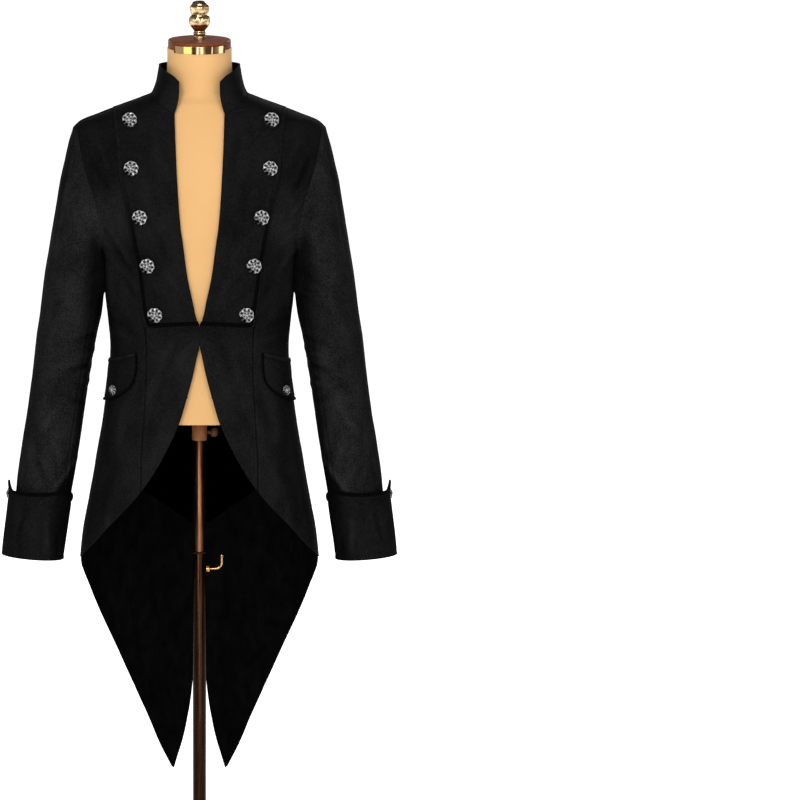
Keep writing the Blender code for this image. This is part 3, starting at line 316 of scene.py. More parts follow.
def lengths(points):
    """Running length along each row of points, from 0."""
    steps = np.linalg.norm(np.diff(points, axis=-2), axis=-1)
    return np.concatenate([np.zeros(steps.shape[:-1] + (1,)), np.cumsum(steps, axis=-1)], axis=-1)


def down_lengths(grid):
    """Running length down each column of a grid, from 0."""
    return lengths(grid.transpose(1, 0, 2)).T


def spread(points, run, at):
    """Values of a line's points, which stand at the lengths in run, at other lengths."""
    return np.stack([np.interp(at, run, points[:, i]) for i in range(points.shape[1])], axis=-1)


def clamp(value):
    return np.clip(value, 0, 1)


def bell(off, width, power=2):
    """1 in the middle and 0 far out: e to the minus (off / width) ^ power."""
    return np.exp(-(off / width) ** power)


def rise(off, width):
    """Goes softly from 0 to 1 where off passes 0."""
    return 1 / (1 + np.exp(-off / width))


def seam(table, heights):
    return np.stack([track(table)(heights), np.asarray(heights, float)], axis=-1)


def shoulder(heights):
    return np.stack([COAT.half(np.asarray(heights, float)), np.asarray(heights, float)], axis=-1)


def at_rows(values, rows):
    """Values of a table of coarse rows or columns at finer, fractional ones."""
    return Track(np.arange(len(values)), values)(rows)


def patch(left, right, top, bottom):
    """A grid between four edges that share their corners: both pairs' blends less the corners' blend."""
    fall = (left[0, 1] - left[:, 1]) + (right[0, 1] - right[:, 1])
    t = (fall / fall[-1])[:, None, None]
    run = lengths(top)
    s = (run / run[-1])[None, :, None]
    corners = ((1 - t) * ((1 - s) * top[0] + s * top[-1]) + t * ((1 - s) * bottom[0] + s * bottom[-1]))
    return (1 - s) * left[:, None] + s * right[:, None] + (1 - t) * top[None] + t * bottom[None] - corners


def along(line, shares):
    run = lengths(line)
    return spread(line, run / run[-1], shares)


def down_heights(table, top, bottom, steps, back):
    """Heights of the solids' rows down a seam."""
    flat = seam(table, np.linspace(top, bottom, 400))
    length = lengths(COAT.place(flat, back))
    share = np.concatenate([[0], np.cumsum(steps)]) / sum(steps)
    return np.interp(share * length[-1], length, flat[:, 1])


def grid_normal(grid, wrap):
    """Directions square to a grid of points, by central differences."""
    around = np.roll(grid, -1, axis=1) - np.roll(grid, 1, axis=1) if wrap else np.gradient(grid, axis=1)
    return unit(np.cross(around, np.gradient(grid, axis=0)))


def mitre(first, second, wall):
    share = np.maximum(1 + (first * second).sum(axis=-1, keepdims=True), 0.45)
    return -wall * (first + second) / share


def mirrored(grid):
    return grid * np.array([-1.0, 1.0, 1.0])


def sided(grid, sign):
    """A grid of the left side as it is, or mirrored for the right side."""
    return mirrored(grid) if sign < 0 else grid


# Creases and unevenness of the cloth.

def troughs(table, u, v, seed):
    """Sum of soft troughs: each is depth * bell(across / width) * window(along / length), bent a little."""
    total = np.zeros(np.broadcast(u, v).shape)
    for number, (cu, cv, turn, length, width, depth) in enumerate(table):
        wobble = math.sin(seed * 3.1 + number * 1.7)
        turn = math.radians(turn + 5 * wobble)
        du = u - cu - 3 * wobble
        dv = v - cv - 3 * math.cos(number * 2.3 + seed)
        run = du * math.cos(turn) + dv * math.sin(turn)
        bow = 0.06 * run * run / length * math.sin(number * 4.7 + seed)
        off = dv * math.cos(turn) - du * math.sin(turn) + bow
        size = depth * (1 + 0.25 * wobble)
        total -= size * bell(off, width) * bell(run, length, 4)
        total += 0.35 * size * bell(np.abs(off) - 2 * width, width) * bell(run, length, 4)
    return total


def ripples(u, v, scale, seed):
    """Uneven low waves: four sines whose directions and lengths don't match."""
    total = np.zeros(np.broadcast(u, v).shape)
    for k in range(4):
        turn = seed * 1.3 + k * 2.4
        size = scale * (0.8 + 0.37 * k)
        total += np.sin((u * math.cos(turn) + v * math.sin(turn)) * 2 * math.pi / size + seed * 2.1 + k * 1.9)
    return total / 4


def seam_press(distance, along_seam, seed):
    """Cloth pulled in at a seam, with a low ridge and small puckers beside it."""
    pucker = 0.16 * ripples(along_seam, 0 * along_seam, 9.0, seed) * bell(distance, 7)
    return pucker - 0.75 * bell(distance, 2.0) + 0.28 * bell(distance - 5.5, 2.6)


def painted_relief_shading(relief, strength=0.42):
    """Painted shade and light: how much darker the cloth is painted where it is pressed in, and lighter where
    it is raised.
    """
    return np.clip(strength * relief, -0.8, 0.55)


def body_relief(points, back, side, creases_only=False):
    """How far the cloth of the body stands off its plain surface."""
    x, z = np.abs(points[..., 0]), points[..., 2]
    seed = 1.0 + 0.6 * side + (2.0 if back else 0.0)
    relief = troughs(BACK_CREASES if back else FRONT_CREASES, x, z, seed)
    if not creases_only:
        relief = relief + 0.5 * ripples(points[..., 0], z * 0.6, 85.0, 4.2 + back)
        relief = relief + 0.22 * ripples(x, z, 31.0, seed)
    if not back:
        line = track(COLLAR_LINE)(x)
        window = clamp((90 - x) / 12)
        relief = relief + window * (0.5 * bell(z - line - 2.0, 1.6) - 0.9 * bell(z - line, 1.2))
        off = x - track(BIB_SEAM)(z)
        stitched = clamp((1104 - z) / 10)
        relief = relief - 0.55 * stitched * bell(off + 4.6, 0.9)
    beside = 1.7 * rise(z - 1158, 4) * rise(1235 - z, 8) + 0.8 * bell(z - 1148, 16)
    relief = relief + beside * clamp((x - 148) / 14)
    middle = clamp(x / 12) if back else 1.0
    return relief * middle


# Meshes.

EDGE_ARCS = (30, 60, 90, 120, 150)      # degrees round a wall's rounded edge
INNER_ARC = 3                           # the edge strip from which the inner side's finish is used


def quads(a, b, c, d):
    return np.stack([a, b, c, d], axis=-1).reshape(-1, 4)


def full_turn(count):
    return np.arange(count) * 2 * math.pi / count


def linked(thing):
    bpy.context.scene.collection.objects.link(thing)
    return thing


def mark_points(thing, name, values):
    mark = thing.data.attributes.new(name, "FLOAT", "POINT")
    mark.data.foreach_set("value", np.ascontiguousarray(values, np.float32))


def shell(name, outer, inner, finish, wrap=False, soft=0.8, inside=None, painted_shading=None):
    """A closed wall between two grids, with its open edges rounded over half its thickness.

    Every edge point becomes an arc from the outer to the inner grid: the middle plus half the thickness times
    the sine and cosine of the arc, out along the cloth and square to it. The last argument tells how much
    darker
    or lighter each point is painted: painted shade in creases and seams, painted light on ridges. inside is
    the inner side's finish and a function that tells where it is lined.
    """
    rows, columns = outer.shape[:2]
    middle = (outer + inner) / 2
    every = slice(None)
    borders = [((0, every), (1, every)), ((-1, every), (-2, every))]
    if not wrap:
        borders += [((every, -1), (every, -2)), ((every, 0), (every, 1))]
    back_off = np.zeros(outer.shape)
    for at, beside in borders:
        half = np.linalg.norm(outer[at] - inner[at], axis=-1, keepdims=True) / 2 * soft
        back_off[at] -= unit(middle[at] - middle[beside]) * half
    flat_o, flat_i, flat_back = (g.reshape(-1, 3) for g in (outer + back_off, inner + back_off, back_off))
    offset = rows * columns
    index = np.arange(offset).reshape(rows, columns)
    right = np.roll(index, -1, axis=1) if wrap else index[:, 1:]
    left = index if wrap else index[:, :-1]
    faces = [quads(left[:-1], right[:-1], right[1:], left[1:]),
             quads(left[:-1], left[1:], right[1:], right[:-1]) + offset]
    if wrap:
        paths = [(index[0], 1), (index[-1], -1)]
    else:
        paths = [(np.concatenate([index[0, :-1], index[:-1, -1], index[-1, :0:-1], index[:0:-1, 0]]), 1)]
    # Painted shade and light of each point, carried onto the rounded edges as well.
    nap = np.zeros(offset) if painted_shading is None else painted_shading.ravel()
    painted_shades = [nap, 0 * nap]
    points = [flat_o, flat_i]
    inner_faces = [np.zeros(len(faces[0]), bool), np.ones(len(faces[1]), bool)]
    count = 2 * offset
    for path, sense in paths:
        centre, half = (flat_o[path] + flat_i[path]) / 2, (flat_o[path] - flat_i[path]) / 2
        reach = unit(-flat_back[path]) * np.linalg.norm(half, axis=-1, keepdims=True) * soft
        strips = [path]
        for turn in np.radians(EDGE_ARCS):
            points.append(centre + half * math.cos(turn) + reach * math.sin(turn))
            painted_shades.append(nap[path])
            strips.append(np.arange(len(path)) + count)
            count += len(path)
        strips.append(path + offset)
        for step, (a, b) in enumerate(zip(strips, strips[1:])):
            strip = quads(a, b, np.roll(b, -1), np.roll(a, -1))
            faces.append(strip if sense > 0 else strip[:, ::-1])
            inner_faces.append(np.full(len(path), step >= INNER_ARC))
    points = np.concatenate(points)
    thing = mesh(name, points, np.concatenate(faces), finish)
    if painted_shading is not None:
        mark_points(thing, "painted_shading", np.concatenate(painted_shades))
    if inside is not None:
        lining, lined = inside
        thing.data.materials.append(lining)
        thing.data.polygons.foreach_set("material_index", np.concatenate(inner_faces).astype(np.int32))
        mark_points(thing, "lined", lined(points))
    return thing


def signed_volume(points, faces):
    """Volume with its sign, from the two triangles of each face."""
    a, b, c, d = (points[faces[:, k]] for k in range(4))
    return ((a * np.cross(b, c)).sum() + (a * np.cross(c, d)).sum()) / 6


def mesh(name, points, faces, finish):
    """A smooth mesh from points in millimetres and faces, turned so that it faces out, with its finish."""
    data = bpy.data.meshes.new(name)
    data.from_pydata((points * MM).tolist(), [], faces.tolist())
    data.update()
    if signed_volume(points, faces) < 0:
        data.flip_normals()
    data.shade_smooth()
    data.materials.append(finish)
    return linked(bpy.data.objects.new(name, data))


def ringed(name, grid, finish):
    """A mesh whose rows are closed rings."""
    index = np.arange(grid[..., 0].size).reshape(grid.shape[:2])
    following = np.roll(index, -1, axis=1)
    faces = quads(index[:-1], index[1:], following[1:], following[:-1])
    return mesh(name, grid.reshape(-1, 3), faces, finish)


def weld(thing):
    """Merges the points that lie on each other, such as a pole's, and turns every face out."""
    build = bmesh.new()
    build.from_mesh(thing.data)
    bmesh.ops.remove_doubles(build, verts=build.verts, dist=1e-6)
    bmesh.ops.recalc_face_normals(build, faces=build.faces)
    build.to_mesh(thing.data)
    build.free()


def lathe(name, profile, finish, turns, matrix=None):
    """A turned solid: each profile point goes round in a circle of its radius; the ends close in a point."""
    profile = np.array(profile, float)
    turn = full_turn(turns)
    thing = ringed(name, np.stack([profile[:, :1] * np.cos(turn), profile[:, :1] * np.sin(turn),
                                   np.repeat(profile[:, 1:], turns, axis=1)], axis=-1), finish)
    weld(thing)
    thing.data.set_sharp_from_angle(angle=math.radians(42))
    if matrix is not None:
        thing.data.transform(matrix)
    return thing


def tube(name, line, half_sizes, finish, sides, up, relief=None):
    """A closed band or cord along a line: rings of an oval whose half width and half height are given.

    The ring's axes are the line's own side way and the up way; relief scales the height at each place.
    """
    run = unit(np.gradient(line, axis=0))
    up = unit(up - (up * run).sum(axis=-1, keepdims=True) * run)
    side = np.cross(run, up)
    turn = full_turn(sides)
    wide, high = half_sizes
    size = np.ones((len(line), sides)) if relief is None else relief(lengths(line), turn)
    aside = (wide * np.cos(turn))[None, :, None] * (0.6 + 0.4 * size[..., None])
    above = (high * np.sin(turn))[None, :, None] * size[..., None]
    grid = line[:, None] + side[:, None] * aside + up[:, None] * above
    ends = np.repeat(line[[0, -1], None], sides, axis=1)
    thing = ringed(name, np.concatenate([ends[:1], grid, ends[1:]]), finish)
    weld(thing)
    return thing


def cut_of(grid, wrap):
    """Size of a grid before it is creased, in metres: longest row, longest column and area of all cells."""
    closed = np.concatenate([grid, grid[:, :1]], axis=1) if wrap else grid
    cells = np.cross(np.diff(closed, axis=1)[:-1], np.diff(closed, axis=0)[:, :-1])
    width, length = lengths(closed)[:, -1].max() * MM, down_lengths(closed)[-1].max() * MM
    return width, length, min(np.linalg.norm(cells, axis=-1).sum() * MM * MM, width * length)


def fitted(thing, node, body):
    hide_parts(node)
    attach(thing, body)


def cloth(thing, node, plain, wrap=False):
    """Puts a sheet of the coat in the place of its solid; the size that it was cut to is worked out but not
    used.
    """
    width, length, area = cut_of(plain, wrap)
    fitted(thing, node, "dressed_form")


# Finishes.

class Nodes:
    """Short calls that add shader nodes to one finish. A value is a number, a colour or a node's output."""

    def __init__(self, name, **values):
        self.finish = bpy.data.materials.new(name)
        self.finish.use_nodes = True
        self.tree = self.finish.node_tree
        self.place = self.new("TexCoord").outputs["Object"]
        self.surface(**values)

    def put(self, value, into):
        if isinstance(value, bpy.types.NodeSocket):
            self.tree.links.new(value, into)
        else:
            into.default_value = value

    def surface(self, **values):
        for key, value in values.items():
            self.put(value, self.tree.nodes["Principled BSDF"].inputs[key.replace("_", " ")])

    def new(self, kind, **values):
        node = self.tree.nodes.new("ShaderNode" + kind)
        for key, value in values.items():
            self.put(value, node.inputs[key.replace("_", " ")])
        return node

    def scaled(self, scale):
        return self.new("Mapping", Scale=scale, Vector=self.place).outputs["Vector"]

    def noise(self, scale, detail=3.0, rough=0.55, vector=None):
        vector = self.place if vector is None else vector
        return self.new("TexNoise", Scale=scale, Detail=detail, Roughness=rough, Vector=vector).outputs["Fac"]

    def wave(self, scale, distortion, bands):
        node = self.new("TexWave", Scale=scale, Distortion=distortion, Vector=self.place)
        node.bands_direction = bands
        return node.outputs["Fac"]

    def ramp(self, value, stops):
        node = self.new("ValToRGB", Fac=value)
        spots = node.color_ramp.elements
        while len(spots) < len(stops):
            spots.new(0.5)
        for spot, (at, colour) in zip(spots, stops):
            spot.position = at
            spot.color = (*colour, 1.0) if isinstance(colour, tuple) else (colour, colour, colour, 1.0)
        return node.outputs["Color"]

    def maths(self, kind, a, b):
        node = self.new("Math")
        node.operation = kind
        self.put(a, node.inputs[0])
        self.put(b, node.inputs[1])
        return node.outputs["Value"]

    def weighed(self, a, b, share):
        return self.maths("ADD", self.maths("MULTIPLY", a, share), self.maths("MULTIPLY", b, 1 - share))

    def mix(self, share, a, b, blend="MIX"):
        """Goes from colour a to colour b; 6 and 7 are the node's colour inputs and 2 is its colour output."""
        node = self.new("Mix")
        node.data_type, node.blend_type = "RGBA", blend
        for number, value in ((0, share), (6, a), (7, b)):
            self.put((*value, 1.0) if isinstance(value, tuple) else value, node.inputs[number])
        return node.outputs[2]

    def ranged(self, value, start, end, low, high):
        node = self.new("MapRange", Value=value, From_Min=start, From_Max=end, To_Min=low, To_Max=high)
        node.interpolation_type = "SMOOTHSTEP"
        return node.outputs["Result"]

    def part(self, axis, vector):
        return self.new("SeparateXYZ", Vector=vector).outputs[axis]

    def slant(self, blend):
        return self.new("LayerWeight", Blend=blend).outputs["Facing"]

    def marked(self, name):
        node = self.new("Attribute")
        node.attribute_name = name
        return node.outputs["Fac"]

    def bump(self, height, distance, strength):
        node = self.new("Bump", Distance=distance, Strength=strength, Height=height)
        self.surface(Normal=node.outputs["Normal"])


@functools.cache
def velvet(name="velvet", tone=1.0, contrast=0.12):
    """Short black pile: cloudy and grained where the nap lies either way, with painted shade that darkens it
    seen at a slant. A point attribute paints shade into creases and seams and light onto ridges, and tone
    makes lighter
    and darker copies of the cloth: painted light and shade for pieces that the light falls on differently.
    """
    n = Nodes(name, Specular_IOR_Level=0.025)
    lying = n.scaled((1.0, 1.0, 0.7))
    clouds, grain = n.noise(21.0, vector=lying), n.noise(560.0, 2.0, 0.7, lying)
    pile = n.noise(1100.0, 2.0, 0.7)
    nap = n.weighed(clouds, grain, 0.3)
    light = (0.0142 * tone, 0.0144 * tone, 0.0142 * tone)
    colour = n.ramp(nap, ((0.5 - contrast, 0.0032 * tone), (0.5 + contrast, light)))
    colour = n.mix(1.0, colour, n.ramp(pile, ((0.3, 0.6), (0.7, 1.0))), "MULTIPLY")
    # Painted shade and light from the point attribute: darker in creases and seams, lighter on ridges.
    colour = n.mix(1.0, colour, n.maths("ADD", n.marked("painted_shading"), 1.0), "MULTIPLY")
    # Painted shade: the colour goes toward near black where the cloth is seen at a slant.
    slant_shade = (0.0008 * tone, 0.0008 * tone, 0.0008 * tone)
    n.surface(Base_Color=n.mix(n.slant(0.35), colour, slant_shade),
              Roughness=n.ramp(nap, ((0.3, 0.98), (0.7, 0.82))))
    n.bump(n.weighed(pile, grain, 0.5), 0.0006, 0.6)
    return n.finish


@functools.cache
def braid(name="braid", fade=None):
    """Dull black plaited braid with fuzz; between the heights in fade it takes on the cloth's own tone."""
    n = Nodes(name, Roughness=0.98, Specular_IOR_Level=0.03)
    fuzz = n.noise(700.0, 2.0, 0.7)
    colour = n.ramp(fuzz, ((0.3, 0.0004), (0.75, 0.0022)))
    if fade:
        nap = n.ramp(n.noise(330.0), ((0.38, 0.0030), (0.62, 0.0085)))
        colour = n.mix(n.ranged(n.part("Z", n.place), *fade, 0.0, 1.0), colour, nap)
    n.surface(Base_Color=colour)
    n.bump(fuzz, 0.0006, 0.8)
    return n.finish


@functools.cache
def inner_side():
    """The inside of the panels, painted far darker than the outer cloth as painted shade inside the coat: a
    black satin lining where lined is above 0, and a dark velvet facing below.
    """
    n = Nodes("inner_side", Roughness=0.9, Specular_IOR_Level=0.0)
    nap = n.noise(60.0, 3.0, 0.6, n.scaled((1.0, 1.0, 0.55)))
    # Painted shade: the facing and the lining are painted much darker than the outer velvet.
    facing = n.ramp(nap, ((0.35, 0.0013), (0.68, 0.0028)))
    shaded_lining = n.ramp(n.wave(900.0, 0.4, "Z"), ((0.0, 0.00002), (1.0, 0.00008)))
    n.surface(Base_Color=n.mix(n.maths("GREATER_THAN", n.marked("lined"), 0.0), facing, shaded_lining))
    n.bump(nap, 0.0003, 0.4)
    return n.finish


@functools.cache
def silver():
    """Cast silver, painted dark where the point attribute is high: in its slots and dents, and as painted
    shade at its rim, on the lower left of its face and on its sides and underside.
    """
    n = Nodes("antique_silver", Specular_IOR_Level=0.05)
    hollow_and_shade, wear = n.marked("hollow_and_shade"), n.noise(500.0, 3.0, 0.6)
    bright = n.ramp(wear, ((0.3, 0.18), (0.7, 0.66)))
    n.surface(Base_Color=n.mix(hollow_and_shade, bright, (0.001, 0.001, 0.001)),
              Metallic=n.ramp(hollow_and_shade, ((0.0, 1.0), (1.0, 0.0))),
              Roughness=n.ramp(hollow_and_shade, ((0.0, 0.3), (1.0, 1.0))))
    n.bump(wear, 0.0002, 0.35)
    return n.finish


@functools.cache
def jersey():
    """The form's peach cover: a fine knit of level and upright threads with faint cloudiness."""
    n = Nodes("form_cover", Roughness=0.75, Specular_IOR_Level=0.25, Sheen_Weight=0.12, Sheen_Roughness=0.5,
              Sheen_Tint=(1.0, 0.75, 0.6, 1.0))
    knit = n.maths("MULTIPLY", n.wave(420.0, 0.6, "Z"), n.wave(420.0, 0.6, "X"))
    share = n.weighed(n.noise(9.0), knit, 0.7)
    n.surface(Base_Color=n.ramp(share, ((0.2, (0.64, 0.365, 0.144)), (0.75, (0.70, 0.412, 0.172)))))
    n.bump(knit, 0.0002, 0.35)
    return n.finish


@functools.cache
def wood(name, dark, light, grain, gloss=1.0):
    """Satin wood: long grain lines that wander, over slow changes of tone."""
    n = Nodes(name, Roughness=0.5, Specular_IOR_Level=0.25 * gloss, Coat_Weight=0.08 * gloss,
              Coat_Roughness=0.25)
    along_grain = n.scaled(grain)
    lines, tone = n.noise(180.0, 4.0, 0.65, along_grain), n.noise(26.0, 2.0, 0.5, along_grain)
    n.surface(Base_Color=n.ramp(n.weighed(lines, tone, 0.6), ((0.3, dark), (0.7, light))))
    n.bump(lines, 0.0002, 0.25)
    return n.finish


@functools.cache
def metal(name, dark, light, rough, scale):
    """Polished or lacquered metal with faint rubbing marks."""
    n = Nodes(name, Metallic=1.0)
    marks = n.noise(160.0, 4.0, 0.6, n.scaled(scale))
    n.surface(Base_Color=n.ramp(marks, ((0.3, dark), (0.7, light))),
              Roughness=n.ramp(marks, ((0.3, rough * 0.8), (0.75, rough * 1.35))))
    n.bump(marks, 0.0001, 0.2)
    return n.finish


def brass():
    return metal("polished_brass", (0.34, 0.17, 0.055), (0.80, 0.50, 0.20), 0.2, (1.0, 1.0, 1.0))


def bronze(name="bronze_lacquer", tone=1.0, rough=0.24):
    dark, light = (0.055 * tone, 0.022 * tone, 0.012 * tone), (0.14 * tone, 0.062 * tone, 0.032 * tone)
    return metal(name, dark, light, rough, (1.0, 1.0, 0.1))


def turned_brass():
    """Bright turned brass with a painted reflection: darker toward its edges, as if it mirrored the dark
    sides of a room.
    """
    n = Nodes("turned_brass", Metallic=1.0, Roughness=0.13)
    patches = n.noise(130.0, 3.0, 0.6, n.scaled((1.0, 1.0, 1.6)))
    gold = n.ramp(patches, ((0.36, (0.24, 0.12, 0.045)), (0.5, (0.62, 0.42, 0.20)),
                            (0.62, (0.98, 0.80, 0.50))))
    # Painted reflection: the colour darkens toward the edges as seen from the camera.
    edge = n.ranged(n.slant(0.5), 0.45, 0.85, 0.0, 1.0)
    n.surface(Base_Color=n.mix(edge, gold, (0.075, 0.030, 0.012)))
    n.bump(patches, 0.0012, 0.3)
    return n.finish


def brass_painted_reflections():
    """Polished brass plate with painted reflections: light and dark bands across it, such as a bent mirror
    shows.
    """
    n = Nodes("brass_painted_reflections", Metallic=1.0, Roughness=0.16)
    across = n.maths("ADD", n.part("X", n.scaled((11.4, 1.0, 1.0))), 0.5)
    wander = n.maths("MULTIPLY", n.noise(90.0, 2.0), 0.03)
    # Painted reflection bands, set across the plate from one side to the other.
    gold, pale, dark, tan = (0.34, 0.21, 0.10), (1.0, 0.86, 0.55), (0.060, 0.027, 0.012), (0.30, 0.15, 0.055)
    sun = (1.0, 0.86, 0.22)
    stops = ((0.02, dark), (0.05, gold), (0.19, gold), (0.22, sun), (0.34, sun), (0.375, dark), (0.44, dark),
             (0.475, pale), (0.51, tan), (0.56, pale), (0.60, tan), (0.64, dark), (0.745, dark),
             (0.765, pale), (0.785, dark), (0.885, tan), (0.915, pale), (0.965, pale), (0.985, gold),
             (1.0, dark))
    n.surface(Base_Color=n.ramp(n.maths("ADD", across, wander), stops))
    return n.finish


# Panels of the body. Their rows run from the neck or shoulder down, and their columns outward.

FINE = 10                   # fine rows to each row of the solids
ACROSS = 41                 # fine points across a side panel
FRONT_NECK, BACK_NECK = 22, 30      # fine points of the centre panels along the neck seam
COLLAR_ROWS = 25
COLLAR_STEP = 12            # fine columns of the collar to each row of its table


def eased(values, count=ACROSS):
    """A short table drawn as a smooth curve at count even places."""
    return at_rows(np.array(values, float), np.linspace(0, len(values) - 1, count))


def armhole(table, rows):
    share = (1 - np.cos(math.pi * rows / ARM_ROWS)) / 2
    flat = seam(table, ARMHOLE_TOP + (ARMPIT - ARMHOLE_TOP) * share)
    flat[:, 0] = np.where(share < 1e-6, ARMHOLE_FRONT[0][1], flat[:, 0])
    return flat


def outer_edge(table, rows):
    """A side panel's outer edge: down the armhole, then down the side line."""
    side = shoulder(np.linspace(ARMPIT, HEM, (ROWS - ARM_ROWS) * FINE + 1)[1:])
    return np.vstack([armhole(table, rows[rows <= ARM_ROWS]), side])


def front_grids():
    """Places of the centre front and the side front."""
    rows = np.linspace(0, ROWS, ROWS * FINE + 1)
    cut = seam(CUTAWAY, np.linspace(CUT_START, HEM, 60))
    foot = next(i for i, p in enumerate(cut) if p[0] > track(BIB_SEAM)(p[1]))
    meeting = cut[foot]
    left = np.concatenate([down_heights(FRONT_EDGE, FRONT_EDGE[0][0], 1118.5, FRONT_EDGE_STEPS, False),
                           (1111.5, 1078, 1060, 1042, 1023, 1004, CUT_START)])
    right = np.concatenate([down_heights(BIB_SEAM, BIB_TOP, 1112.5, BIB_SEAM_STEPS, False),
                            (1105.5, 1074), np.linspace(1040, meeting[1], 5)])
    left = seam(FRONT_EDGE, at_rows(left, rows))
    right = seam(BIB_SEAM, at_rows(right, rows))
    right[0] = shoulder(BIB_TOP)
    right[-1] = meeting
    neck = np.array([row[:2] for row in COLLAR[:4]])
    neck[-1] = shoulder(NECK_POINT)
    over = shoulder(eased((NECK_POINT, 1499, 1490, 1482.5, BIB_TOP), 34))
    top = np.vstack([eased(neck, FRONT_NECK), over[1:]])
    run = lengths(top)
    centre = patch(left, right, top, along(cut[:foot + 1], run / run[-1]))
    side_top = shoulder(eased((BIB_TOP, 1474, 1467, 1459, ARMHOLE_TOP)))
    outer = outer_edge(ARMHOLE_FRONT, rows)
    hem = along(cut[foot:], eased((0, 0.3, 0.58, 0.82, 1)))
    hem[-1] = outer[-1]
    return centre, patch(right, outer, side_top, hem)


def back_grids():
    """Places of the centre back and the side back."""
    rows = np.linspace(0, ROWS, ROWS * FINE + 1)
    left = down_heights(VENT_EDGE, VENT_EDGE[0][0], TAIL_FOOT, BACK_EDGE_STEPS, True)
    left = seam(VENT_EDGE, at_rows(left, rows))
    right = down_heights(BACK_SEAM, BACK_SEAM_TOP, BACK_SEAM_FOOT, BACK_SEAM_STEPS, True)
    right = seam(BACK_SEAM, at_rows(right, rows))
    right[0] = shoulder(BACK_SEAM_TOP)
    neck = np.array([row[:2] for row in COLLAR[3:]])[::-1]
    neck[0, 0] = left[0, 0]
    neck[-1] = shoulder(NECK_POINT)
    over = shoulder(np.linspace(NECK_POINT, BACK_SEAM_TOP, 14))
    top = np.vstack([eased(neck, BACK_NECK), over[1:]])
    tail = seam(TAIL_EDGE, np.linspace(HEM, TAIL_FOOT, 60))
    foot = int(np.argmin(np.abs(tail[:, 1] - BACK_SEAM_FOOT)))
    right[-1] = tail[foot]
    run = lengths(top)
    bottom = along(tail[foot:][::-1], run / run[-1])
    bottom[0] = left[-1]
    centre = patch(left, right, top, bottom)
    side_top = shoulder(eased((BACK_SEAM_TOP, 1483, 1474, 1463, ARMHOLE_TOP)))
    outer = outer_edge(ARMHOLE_BACK, rows)
    hem = along(tail[:foot + 1][::-1], eased((0, 0.28, 0.56, 0.8, 1)))
    hem[-1] = outer[-1]
    return centre, patch(right, outer, side_top, hem)


def pull_in(grid, sides, gap=SEAM):
    """Moves the named edges squarely back from themselves, to open half a seam."""
    source, grid = grid, grid.copy()
    for side in sides:
        edge, inner = {"top": (0, 1), "left": ((slice(None), 0), (slice(None), 1)),
                       "right": ((slice(None), -1), (slice(None), -2))}[side]
        way = source[inner] - source[edge]
        run = unit(np.gradient(source[edge], axis=0))
        way -= (way * run).sum(axis=-1, keepdims=True) * run
        grid[edge] = grid[edge] + gap * unit(way)
    return grid


def panel(what, flat, back, sign, hand, seams, lined, edge_fix=None):
    """One body panel: its plain surface, moved by creases and pressed in at the seams named in seams."""
    plain = COAT.place(flat, back)
    ways = COAT.normal(plain, back)
    relief = body_relief(plain, back, sign)
    creases = body_relief(plain, back, sign, creases_only=True)
    across = lengths(plain)
    from_right = across[:, -1:] - across
    z = plain[..., 2]
    seed = 5.0 if back else 3.0
    press = seam_press(from_right, z, seed + (0 if edge_fix is None else 1))
    if "left" in seams:
        press = press + seam_press(across, z, seed)
    fade = clamp(down_lengths(plain) / 14)
    if "armhole" in seams:
        rows = np.arange(plain.shape[0])[:, None] / FINE
        near = np.where(rows < ARM_ROWS + 0.3, clamp(from_right / 12), 1)
        fade = fade * near
    relief = (relief + press) * fade
    upper = clamp((z - 1040) / 70)
    weak = 0.45 if back else 0.4 + 0.25 * np.maximum(upper, clamp((40 - plain[..., 0]) / 12))
    # Painted shade in creases and seams, and painted light beside the seams, stronger on the back.
    shade = np.where(press < 0, 0.3 * press, 2.2 * press) if back else press
    # Painted shade: the upper front is painted darker, and the back a touch darker.
    painted_shading = painted_relief_shading((weak * creases + shade) * fade) - (0.03 if back else 0.25 * upper)
    # Painted light on the front's side below the arm, where the sleeve shades it.
    if not back:
        beside = clamp((plain[..., 0] - 118) / 36) * clamp((z - 1110) / 40) * clamp((1350 - z) / 60)
        painted_shading = painted_shading + 0.95 * beside
    outer = plain + relief[..., None] * ways
    inner = outer - CLOTH * ways
    if edge_fix is not None:
        inner = edge_fix(outer, inner, ways)
    sides = [side for side in seams if side != "armhole"]
    outer, inner = (sided(pull_in(wall, sides), sign) for wall in (outer, inner))
    # The back is a lighter copy of the same velvet: painted light.
    finish = velvet("back_velvet", 1.3) if back else velvet()
    thing = shell(f"{what}_{hand}_velvet", outer, inner, finish, inside=(inner_side(), lined),
                  painted_shading=painted_shading)
    cloth(thing, f"{what}_{hand}", plain)
    return plain


def tail_lining(points):
    """How far a place is above the slanting hem of the lining, or outside the facing along the vent."""
    x, z = np.abs(points[:, 0]), points[:, 2]
    return np.minimum(z - 735 - (x - 19) * 0.72, (x - 12) * 3)


def front_lining(points):
    """How far a place is inside the facing along the front edge."""
    x, z = np.abs(points[:, 0]), points[:, 2]
    edge = np.where(z > CUT_START, track(FRONT_EDGE)(z), track(CUTAWAY)(z))
    return x - edge - 28


def fillet(distance):
    """How far cloth stands out from the corner under the collar, which is soft and has no sharp fold."""
    return 1.2 * (1 - clamp(distance / 12)) ** 2


